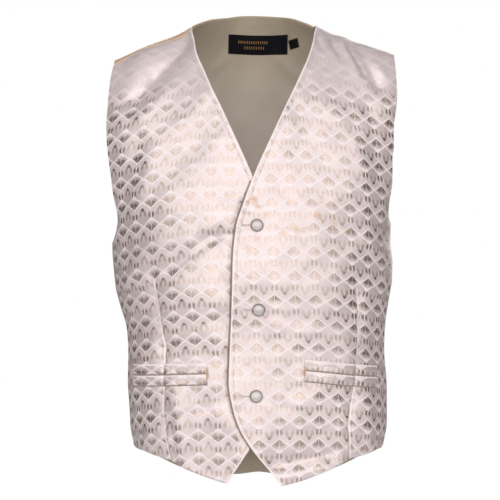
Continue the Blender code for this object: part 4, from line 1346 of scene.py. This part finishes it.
def patch_on(tree, first, last, width, columns, rows):
    """A grid of points and normals on a surface, below the line from first to last."""
    (x0, z0), (x1, z1) = first, last
    length = math.hypot(x1 - x0, z1 - z0)
    down = ((z1 - z0) / length * math.copysign(1, x1 - x0), -abs(x1 - x0) / length)
    points = np.zeros((rows + 1, columns + 1, 3))
    normals = np.zeros_like(points)
    for row in range(rows + 1):
        for column in range(columns + 1):
            share = column / columns
            drop = width * row / rows
            x = x0 + (x1 - x0) * share + down[0] * drop
            z = z0 + (z1 - z0) * share + down[1] * drop
            hit, normal = point_on(tree, x, z)
            points[row, column] = hit
            normals[row, column] = normal
    return points, normals


def lip_profile(share, towards_mouth):
    """Height of a lip over its width, from its sewn edge to its mouth."""
    across = share if towards_mouth else 1 - share
    sewn = smooth_step(across / 0.16) ** 0.6
    rolled = np.sqrt(np.clip(1 - np.clip((across - 0.86) / 0.14, 0, 1) ** 2, 0, 1))
    return (0.72 + 0.28 * np.sin(math.pi * across**1.3)) * sewn * (0.25 + 0.75 * rolled)


for name, side, x0, z0, x1, z1 in POCKETS:
    for place, shift in (("upper", LIP_WIDTH + LIP_MOUTH_GAP / 2), ("lower", -LIP_MOUTH_GAP / 2)):
        tree, first, last = fronts[side]["tree"], (x0, z0 + shift), (x1, z1 + shift)
        seat, normals = patch_on(tree, first, last, LIP_WIDTH, LIP_COLUMNS, LIP_ROWS)
        v = np.linspace(0, 1, LIP_ROWS + 1)[:, None]
        u = np.linspace(0, 1, LIP_COLUMNS + 1)[None, :]
        ends = smooth_step(np.minimum(u, 1 - u) / 0.012)
        plump = lip_profile(v, place == "upper") * (0.35 + 0.65 * ends)
        plump = plump * (1 + 0.05 * np.sin(37 * u + 3 * v) + 0.04 * np.sin(81 * u + 1.7))
        outer = seat + (TRIM_GAP + LIP_THICKNESS * plump)[..., None] * normals
        inner = seat + LIP_SEAT * normals
        length = math.hypot(x1 - x0, z1 - z0)
        flat = np.stack([side * (u * length + 0 * v), (1 - v) * LIP_WIDTH + 0 * u], axis=-1)
        flat += np.array(LIP_CUT_OFF)
        faces, _, rim = grid_quads(*outer.shape[:2])
        if side < 0:
            faces = faces[:, ::-1]
        middle = ((outer + inner) / 2).reshape(-1, 3)[rim]
        mouth = (1 - v if place == "upper" else v) * LIP_WIDTH + 0 * u
        far = np.full_like(mouth, FAR)
        # A pale line of painted highlight runs along the upper lip's sewn edge and the lower lip's
        # mouth, and a dark line of painted shadow along the upper lip's mouth and the lower lip's sewn
        # edge.
        highlight_edge = LIP_WIDTH - mouth if place == "upper" else mouth
        shadow_edge = mouth if place == "upper" else LIP_WIDTH - mouth
        distances = {"edge": highlight_edge, "dart": far, "crease": shadow_edge}
        lip = add_mesh(
            f"pocket_{name}_{place}_lip_cloth",
            np.concatenate([outer.reshape(-1, 3), inner.reshape(-1, 3), middle]),
            faces,
            (satin_upright if side < 0 else satin_turned,),
            None,
            on_shell(flat, rim),
            {label: on_shell(values, rim) for label, values in distances.items()},
        )
        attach(lip, "root")
        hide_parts(f"pocket_{name}_{place}_lip")
print("lip:", len(lip.data.polygons), "faces")

# %% [markdown]
# ## Covered buttons
# A covered button is a domed shell with satin pulled over it and gathered under the rim, so small
# pleats run a little way up from the rim. It is turned from one profile; the pleats are a ripple in
# the radius that fades before the crown. Each sits on its shank where its solid is.

# %% Make the buttons
# name, x, z
BUTTONS = (("top", 0.0050, -0.2710), ("middle", 0.0073, -0.3816), ("bottom", 0.0039, -0.4950))
BUTTON_RADIUS = 0.0084
BUTTON_RIM = 0.0012
BUTTON_DOME = 0.0042
SHANK_RADIUS = 0.0011
SHANK_DEPTH = 0.0030
RIM_ROUNDING = 0.0006
RIM_STEPS = 8
DOME_STEPS = 24
PLEAT_STEPS = 7
BUTTON_SIDES = 96
PLEATS = 17
PLEAT_HEIGHT = 0.00016


def button_profile():
    """Radius, height and share of pleating, from the shank's foot to the crown."""
    rows = [(SHANK_RADIUS, -SHANK_DEPTH, 0.0), (SHANK_RADIUS, 0.0, 0.0)]
    rows.append((BUTTON_RADIUS * 0.80, 0.0, 0.3))
    for step in range(RIM_STEPS + 1):
        turn = math.radians(-90 + 90 * step / RIM_STEPS)
        radius = BUTTON_RADIUS - RIM_ROUNDING + RIM_ROUNDING * math.cos(turn)
        rows.append((radius, RIM_ROUNDING + RIM_ROUNDING * math.sin(turn), 1.0))
    for step in range(1, DOME_STEPS):
        turn = math.radians(90 * step / DOME_STEPS)
        radius = BUTTON_RADIUS * math.cos(turn)
        pleating = max(0.0, 1 - step / PLEAT_STEPS)
        rows.append((radius, BUTTON_RIM + BUTTON_DOME * math.sin(turn), pleating))
    return rows


def button_frame(x, z):
    """A button's base on the lapping front, and its right, up and outward ways."""
    seat, normal = point_on(fronts[WEARERS_LEFT]["tree"], x, z)
    right = Vector((1, 0, 0))
    right = (right - right.dot(normal) * normal).normalized()
    return seat + TRIM_GAP * normal, right, normal.cross(right), normal


for name, x, z in BUTTONS:
    base, right, up, normal = button_frame(x, z)
    points = []
    flat = []
    for radius, height, pleating in button_profile():
        for side in range(BUTTON_SIDES):
            turn = 2 * math.pi * side / BUTTON_SIDES
            ripple = math.cos(PLEATS * turn + 2 * math.sin(3 * turn + z * 90))
            reach = radius + PLEAT_HEIGHT * pleating * ripple
            way = math.cos(turn) * right + math.sin(turn) * up
            points.append(base + height * normal + reach * way)
            flat.append((radius * math.cos(turn), radius * math.sin(turn)))
    points += [base - SHANK_DEPTH * normal, base + (BUTTON_RIM + BUTTON_DOME) * normal]
    flat += [(0, 0), (0, 0)]
    levels = (len(points) - 2) // BUTTON_SIDES
    foot = len(points) - 2
    faces = []
    for level in range(levels - 1):
        for side in range(BUTTON_SIDES):
            after = (side + 1) % BUTTON_SIDES
            low = level * BUTTON_SIDES
            high = low + BUTTON_SIDES
            faces.append((low + side, low + after, high + after, high + side))
    caps = []
    for side in range(BUTTON_SIDES):
        after = (side + 1) % BUTTON_SIDES
        last = (levels - 1) * BUTTON_SIDES
        caps += [(foot, after, side), (foot + 1, last + side, last + after)]
    cover = add_mesh(f"button_{name}_cover", points, faces + caps, (button_satin,), flat=flat)
    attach(cover, "root")
    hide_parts(f"button_{name}")
print("button:", len(cover.data.polygons), "faces")

# %% [markdown]
# ## Label and size tab
# The label is a strip of black ribbon weave sewn inside the neck, and the tab is a small square
# beside it. Ribbon doesn't lie quite flat: it lifts a little between its stitches, and that wave
# is in the mesh. What the real label says is left out, and rows of plain ochre bars stand there.

# %% Make the label and the tab
# name, x, z, width, height, tilt in degrees
LABELS = (
    ("neck_label", 0.0070, -0.0168, 0.0830, 0.0265, -1.0),
    ("size_tab", 0.0570, -0.0172, 0.0125, 0.0125, 12.0),
)
LABEL_THICKNESS = 0.0007
LABEL_WAVE = 0.0006
label_grids = {}
for name, x, z, width, height, tilt in LABELS:
    turn = math.radians(tilt)
    half = np.array([math.cos(turn), math.sin(turn)]) * width / 2
    lift = np.array([-math.sin(turn), math.cos(turn)]) * height / 2
    first = np.array([x, z]) - half + lift
    last = np.array([x, z]) + half + lift
    columns = max(12, round(width / 0.0012))
    seat, normals = patch_on(lining_tree, tuple(first), tuple(last), height, columns, 18)
    u = np.linspace(0, 1, columns + 1)[None, :]
    v = np.linspace(0, 1, 19)[:, None]
    free = np.sin(math.pi * v) * np.sin(math.pi * u) ** 0.5
    wave = LABEL_WAVE * free * (1 + np.sin(width / 0.0105 * u * 2 + 4 * v + 0.8))
    outer = seat + (TRIM_GAP + LABEL_THICKNESS + wave)[..., None] * normals
    flat = np.stack([u * width + 0 * v, (1 - v) * height + 0 * u], axis=-1)
    cloths = (ribbon, ribbon)
    strip = add_shell(f"{name}_ribbon", outer, normals, flat, LABEL_THICKNESS, cloths, turned=False)
    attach(strip, "root")
    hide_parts(name)
    label_grids[name] = (outer, normals)
    print(name, "columns:", columns)

# %% [markdown]
# ## Stitches
# Hand and machine stitches all repeat along a line, which is work for Geometry Nodes. The tree
# takes a line drawn on the cloth, sets points on it at an even spacing, and puts one arched length
# of thread on each, turned along the line for a running stitch or across it for a buttonhole. Each
# line carries the cloth's outward way as an attribute, so that the thread stands on the cloth.

# %% Geometry Nodes tree: a row of stitches
stitch_tree, given, end = new_group(
    "row_of_stitches",
    [
        ("Line", "NodeSocketGeometry", None),
        ("Spacing", FLOAT, 0.001),
        ("Stitch Length", FLOAT, 0.002),
        ("Thread Width", FLOAT, 0.0005),
        ("Arch", FLOAT, 0.0004),
        ("Turn", FLOAT, 0.0),
        ("Unevenness", FLOAT, 0.15),
        ("Seed", "NodeSocketInt", 1),
        ("Thread", "NodeSocketMaterial", None),
    ],
    [("Stitches", "NodeSocketGeometry")],
    "GeometryNodeTree",
)


def stitch_node(kind, inputs=None, **settings):
    """A node of the stitch tree."""
    return add_node(stitch_tree, kind, inputs, **settings)


def vector_of(x=0.0, y=0.0, z=0.0):
    """A vector from numbers or Values."""
    return stitch_node("ShaderNodeCombineXYZ", {0: x, 1: y, 2: z}).outputs[0]


half_stitch = given["Stitch Length"] * 0.5
bend = stitch_node(
    "GeometryNodeCurveQuadraticBezier",
    {
        "Resolution": 6,
        "Start": vector_of(x=0.0 - half_stitch),
        "Middle": vector_of(z=given["Arch"] * 2.0),
        "End": vector_of(x=half_stitch),
    },
)
section = stitch_node(
    "GeometryNodeCurvePrimitiveCircle",
    {"Resolution": 6, "Radius": given["Thread Width"] * 0.5},
)
thread = stitch_node(
    "GeometryNodeCurveToMesh",
    {"Curve": bend.outputs["Curve"], "Profile Curve": section.outputs["Curve"], "Fill Caps": True},
)
line = stitch_node("GeometryNodeMeshToCurve", {"Mesh": given["Line"]})
spaced = stitch_node(
    "GeometryNodeResampleCurve",
    {"Curve": line.outputs["Curve"], "Length": given["Spacing"]},
    mode="LENGTH",
)
tangent = stitch_node("GeometryNodeInputTangent").outputs["Tangent"]
outward = stitch_node(
    "GeometryNodeInputNamedAttribute", {"Name": "outward"}, data_type="FLOAT_VECTOR"
)
facing = stitch_node(
    "FunctionNodeAlignRotationToVector", {"Vector": outward.outputs["Attribute"]}, axis="Z"
)
facing = stitch_node(
    "FunctionNodeAlignRotationToVector",
    {"Rotation": facing.outputs["Rotation"], "Vector": tangent},
    axis="X",
    pivot_axis="Z",
)
chance = stitch_node(
    "FunctionNodeRandomValue",
    {"Min": 0.0 - given["Unevenness"], "Max": given["Unevenness"], "Seed": given["Seed"]},
    data_type="FLOAT",
)
chance = next(output for output in chance.outputs if output.type == "VALUE" and output.enabled)
chance = Value(stitch_tree, chance)
turned = stitch_node(
    "FunctionNodeEulerToRotation", {"Euler": vector_of(z=given["Turn"] + chance)}
)
facing = stitch_node(
    "FunctionNodeRotateRotation",
    {"Rotation": facing.outputs["Rotation"], "Rotate By": turned.outputs["Rotation"]},
    rotation_space="LOCAL",
)
placed = stitch_node(
    "GeometryNodeInstanceOnPoints",
    {
        "Points": spaced.outputs["Curve"],
        "Instance": thread.outputs["Mesh"],
        "Rotation": facing.outputs["Rotation"],
        "Scale": chance * 0.5 + 1.0,
    },
)
solid = stitch_node("GeometryNodeRealizeInstances", {"Geometry": placed.outputs["Instances"]})
smooth = stitch_node("GeometryNodeSetShadeSmooth", {"Geometry": solid.outputs["Geometry"]})
painted = stitch_node(
    "GeometryNodeSetMaterial",
    {"Geometry": smooth.outputs["Geometry"], "Material": given["Thread"]},
)
stitch_tree.links.new(painted.outputs["Geometry"], end.inputs["Stitches"])
print("stitch tree:", len(stitch_tree.nodes), "nodes")

# %% [markdown]
# ## Where the stitches run
# A stitch line is a chain of points on a cloth, each a thread's width above it. Buttonholes are
# sewn along both sides of their slit with a bar at the end, and pockets have a bar at both ends:
# of peach thread at the inner one and ivory at the outer one. Each set of like stitches becomes
# one plain mesh, and its modifier goes.

# %% Sew the rows
STITCH_INPUTS = ("Spacing", "Stitch Length", "Thread Width", "Arch", "Turn", "Unevenness")
ACROSS = math.pi / 2
ALONG = 0.0


def sewn(name, lines, material, seed, *sizes):
    """One mesh of stitches along chains of (points, outward ways)."""
    points = []
    ways = []
    edges = []
    for chain, outward_ways in lines:
        first = len(points)
        points += [tuple(point) for point in chain]
        ways += [tuple(way) for way in outward_ways]
        edges += [(first + step, first + step + 1) for step in range(len(chain) - 1)]
    mesh = bpy.data.meshes.new(name)
    mesh.from_pydata(points, edges, [])
    attribute = mesh.attributes.new("outward", "FLOAT_VECTOR", "POINT")
    attribute.data.foreach_set("vector", np.array(ways, dtype=np.float32).ravel())
    guide = bpy.data.objects.new(name, mesh)
    bpy.context.scene.collection.objects.link(guide)
    modifier = guide.modifiers.new("stitches", "NODES")
    modifier.node_group = stitch_tree
    values = {"Seed": seed, "Thread": material, **dict(zip(STITCH_INPUTS, sizes))}
    for item in stitch_tree.interface.items_tree:
        if item.in_out == "INPUT" and item.name in values:
            modifier[item.identifier] = values[item.name]
    bpy.context.view_layer.update()
    evaluated = guide.evaluated_get(bpy.context.evaluated_depsgraph_get())
    shown = bpy.data.meshes.new_from_object(evaluated)
    guide.modifiers.remove(modifier)
    guide.data = shown
    shown.name = name
    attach(guide, "root")
    print(name, "faces:", len(shown.polygons))
    return guide


def chain_on(tree, places, lift):
    """A chain of points above a surface, and its outward ways."""
    points = []
    ways = []
    for x, z in places:
        hit, normal = point_on(tree, x, z)
        points.append(hit + lift * normal)
        ways.append(normal)
    return points, ways


HOLE_START = 0.0185
HOLE_SIDE = 0.0006
hole_lines = []
slit_lines = []
for name, x, z in BUTTONS:
    for way in (1, -1):
        steps = np.linspace(x - HOLE_START, x + 0.002, 24)
        places = [(step, z + way * HOLE_SIDE) for step in steps]
        hole_lines.append(chain_on(fronts[WEARERS_LEFT]["tree"], places, 0.0001))
    places = [(x - HOLE_START - 0.0006, z + height) for height in np.linspace(-0.0016, 0.0016, 6)]
    slit_lines.append(chain_on(fronts[WEARERS_LEFT]["tree"], places, 0.0002))
holes = sewn(
    "buttonhole_stitches", hole_lines, ivory_thread, 3,
    0.00055, 0.0012, 0.0004, 0.00020, ACROSS, 0.08,
)
hole_ends = sewn(
    "buttonhole_end_bars", slit_lines, ivory_thread, 4,
    0.0005, 0.0018, 0.0005, 0.0003, ACROSS, 0.08,
)

for end_name, thread_kind, seed, end_places in (
    ("inner", peach_thread, 5, [(side, x0, z0) for _, side, x0, z0, _, _ in POCKETS]),
    ("outer", ivory_thread, 8, [(side, x1, z1) for _, side, _, _, x1, z1 in POCKETS]),
):
    tack_lines = []
    for side, x, z in end_places:
        places = [(x, z + height) for height in np.linspace(-0.0062, 0.0062, 14)]
        tack_lines.append(chain_on(fronts[side]["tree"], places, 0.0019))
    tacks = sewn(
        f"pocket_{end_name}_bar_tacks", tack_lines, thread_kind, seed,
        0.00050, 0.0026, 0.00055, 0.0003, ACROSS, 0.10,
    )

# %% [markdown]
# ## The label's sewing and its plain bars
# Black running stitches hold the label at both ends and the tab along its top. Two rows of ochre
# bars stand in for lettering: woven bars of one height at an even pitch, which say nothing.

# %% Sew the label
def on_label(name, u, v, lift):
    """A point over a label at shares of its width and height, and its outward way."""
    outer, normals = label_grids[name]
    row = v * (outer.shape[0] - 1)
    column = u * (outer.shape[1] - 1)
    r0, c0 = min(int(row), outer.shape[0] - 2), min(int(column), outer.shape[1] - 2)
    a, b = row - r0, column - c0
    top = outer[r0, c0] * (1 - b) + outer[r0, c0 + 1] * b
    low = outer[r0 + 1, c0] * (1 - b) + outer[r0 + 1, c0 + 1] * b
    way = Vector(normals[r0, c0])
    return Vector(top * (1 - a) + low * a) + lift * way, way


def label_chain(name, u_range, v_range, steps, lift=0.0001):
    """A chain of points over a label between two corners."""
    pairs = [
        on_label(name, u, v, lift)
        for u, v in zip(np.linspace(*u_range, steps), np.linspace(*v_range, steps))
    ]
    return [pair[0] for pair in pairs], [pair[1] for pair in pairs]


hems = [
    label_chain("neck_label", (0.018, 0.018), (0.05, 0.95), 12),
    label_chain("neck_label", (0.982, 0.982), (0.05, 0.95), 12),
    label_chain("size_tab", (0.1, 0.9), (0.10, 0.10), 6),
]
label_sewing = sewn(
    "label_stitches", hems, black_thread, 6,
    0.0022, 0.0016, 0.0004, 0.0002, ALONG, 0.10,
)
bars = [
    label_chain("neck_label", (0.17, 0.66), (0.36, 0.36), 30),
    label_chain("neck_label", (0.27, 0.60), (0.64, 0.64), 30),
]
label_bars = sewn(
    "label_bars", bars, ochre_thread, 7,
    0.0031, 0.0040, 0.0011, 0.00018, ACROSS, 0.04,
)

# %% [markdown]
# ## Short names for the fronts
# The records of the two fronts are held under short names.

right, left = fronts[WEARERS_RIGHT], fronts[WEARERS_LEFT]

# %% [markdown]
# ## Stage, light and camera
# The photograph is a catalogue one: the waistcoat hangs level with the lens in front of pure white,
# lit by one wide soft lamp from the camera's side. That is the front lamp, behind the camera. A
# dimmer, bluish one hangs above, and a third lights the back. The room is white to the camera
# alone. As fill light it is dimmer, and in mirror images it is dimmer still and warm, which is what
# darkens the fans at the sides. A pale floor lies well below the hem.

# %% Stage, light and camera
CAMERA_PLACE = (-0.0041, -3.0, -0.3033)
CAMERA_LENS = 158.8
CAMERA_SENSOR = 36.0
FLOOR_HEIGHT = -0.97
FLOOR_RADIUS = 1.6
FLOOR_SIDES = 96
FLOOR_GREY = (0.82, 0.82, 0.82, 1)
ROOM_LIGHT = 0.37
MIRRORED_ROOM = 0.11
# name, place, aim, width, height, watts, colour
LAMPS = (
    ("front lamp", (0.0, -3.5, 0.62), (0.0, 0.0, 0.62), 6.4, 3.4, 137.0, (1.0, 0.965, 0.95)),
    ("upper lamp", (0.0, -1.3, 3.0), (0.0, -0.2, 0.0), 6.0, 4.4, 27.0, (0.98, 0.965, 1.0)),
    ("back lamp", (0.6, 3.4, 0.6), (0.0, 0.0, -0.3), 2.6, 2.2, 40.0, (1.0, 0.98, 0.96)),
)

scene = bpy.context.scene
scene.view_settings.view_transform = "Standard"
for name, place, aim, width, height, watts, colour in LAMPS:
    data = bpy.data.lights.new(name, "AREA")
    data.shape = "RECTANGLE"
    data.size = width
    data.size_y = height
    data.energy = watts
    data.color = colour
    lamp = bpy.data.objects.new(name, data)
    lamp.location = place
    lamp.rotation_euler = (Vector(place) - Vector(aim)).to_track_quat("Z", "Y").to_euler()
    lamp.visible_camera = False
    scene.collection.objects.link(lamp)

world = bpy.data.worlds.new("white room")
scene.world = world
world.use_nodes = True
room = world.node_tree
room.nodes.clear()
seen = add_node(room, "ShaderNodeBackground", {"Color": (1.0, 1.0, 1.0, 1.0), "Strength": 1.0})
ray = add_node(room, "ShaderNodeLightPath")
mirrored = Value(room, ray.outputs["Is Glossy Ray"])
felt = add_node(
    room,
    "ShaderNodeBackground",
    {
        "Color": mixed(room, mirrored, (1.0, 0.94, 0.96, 1.0), (1.0, 0.87, 0.80, 1.0)),
        "Strength": mirrored * (MIRRORED_ROOM - ROOM_LIGHT) + ROOM_LIGHT,
    },
)
both = add_node(
    room,
    "ShaderNodeMixShader",
    {0: ray.outputs["Is Camera Ray"], 1: felt.outputs[0], 2: seen.outputs[0]},
)
add_node(room, "ShaderNodeOutputWorld", {"Surface": both.outputs[0]})

floor_mesh = bpy.data.meshes.new("floor")
turns = [math.tau * step / FLOOR_SIDES for step in range(FLOOR_SIDES)]
rim_points = [
    (FLOOR_RADIUS * math.cos(turn), FLOOR_RADIUS * math.sin(turn), FLOOR_HEIGHT) for turn in turns
]
floor_mesh.from_pydata(rim_points, [], [list(range(FLOOR_SIDES))])
floor_material = bpy.data.materials.new("pale floor")
floor_material.use_nodes = True
floor_shader = floor_material.node_tree.nodes["Principled BSDF"]
floor_shader.inputs["Base Color"].default_value = FLOOR_GREY
floor_shader.inputs["Roughness"].default_value = 0.8
floor_mesh.materials.append(floor_material)
floor = bpy.data.objects.new("floor", floor_mesh)
scene.collection.objects.link(floor)

camera_data = bpy.data.cameras.new("camera")
camera_data.lens = CAMERA_LENS
camera_data.sensor_width = CAMERA_SENSOR
camera = bpy.data.objects.new("camera", camera_data)
camera.location = CAMERA_PLACE
camera.rotation_euler = (math.pi / 2, 0.0, 0.0)
scene.collection.objects.link(camera)
scene.camera = camera
print("lamps:", len(LAMPS), "camera:", CAMERA_PLACE)
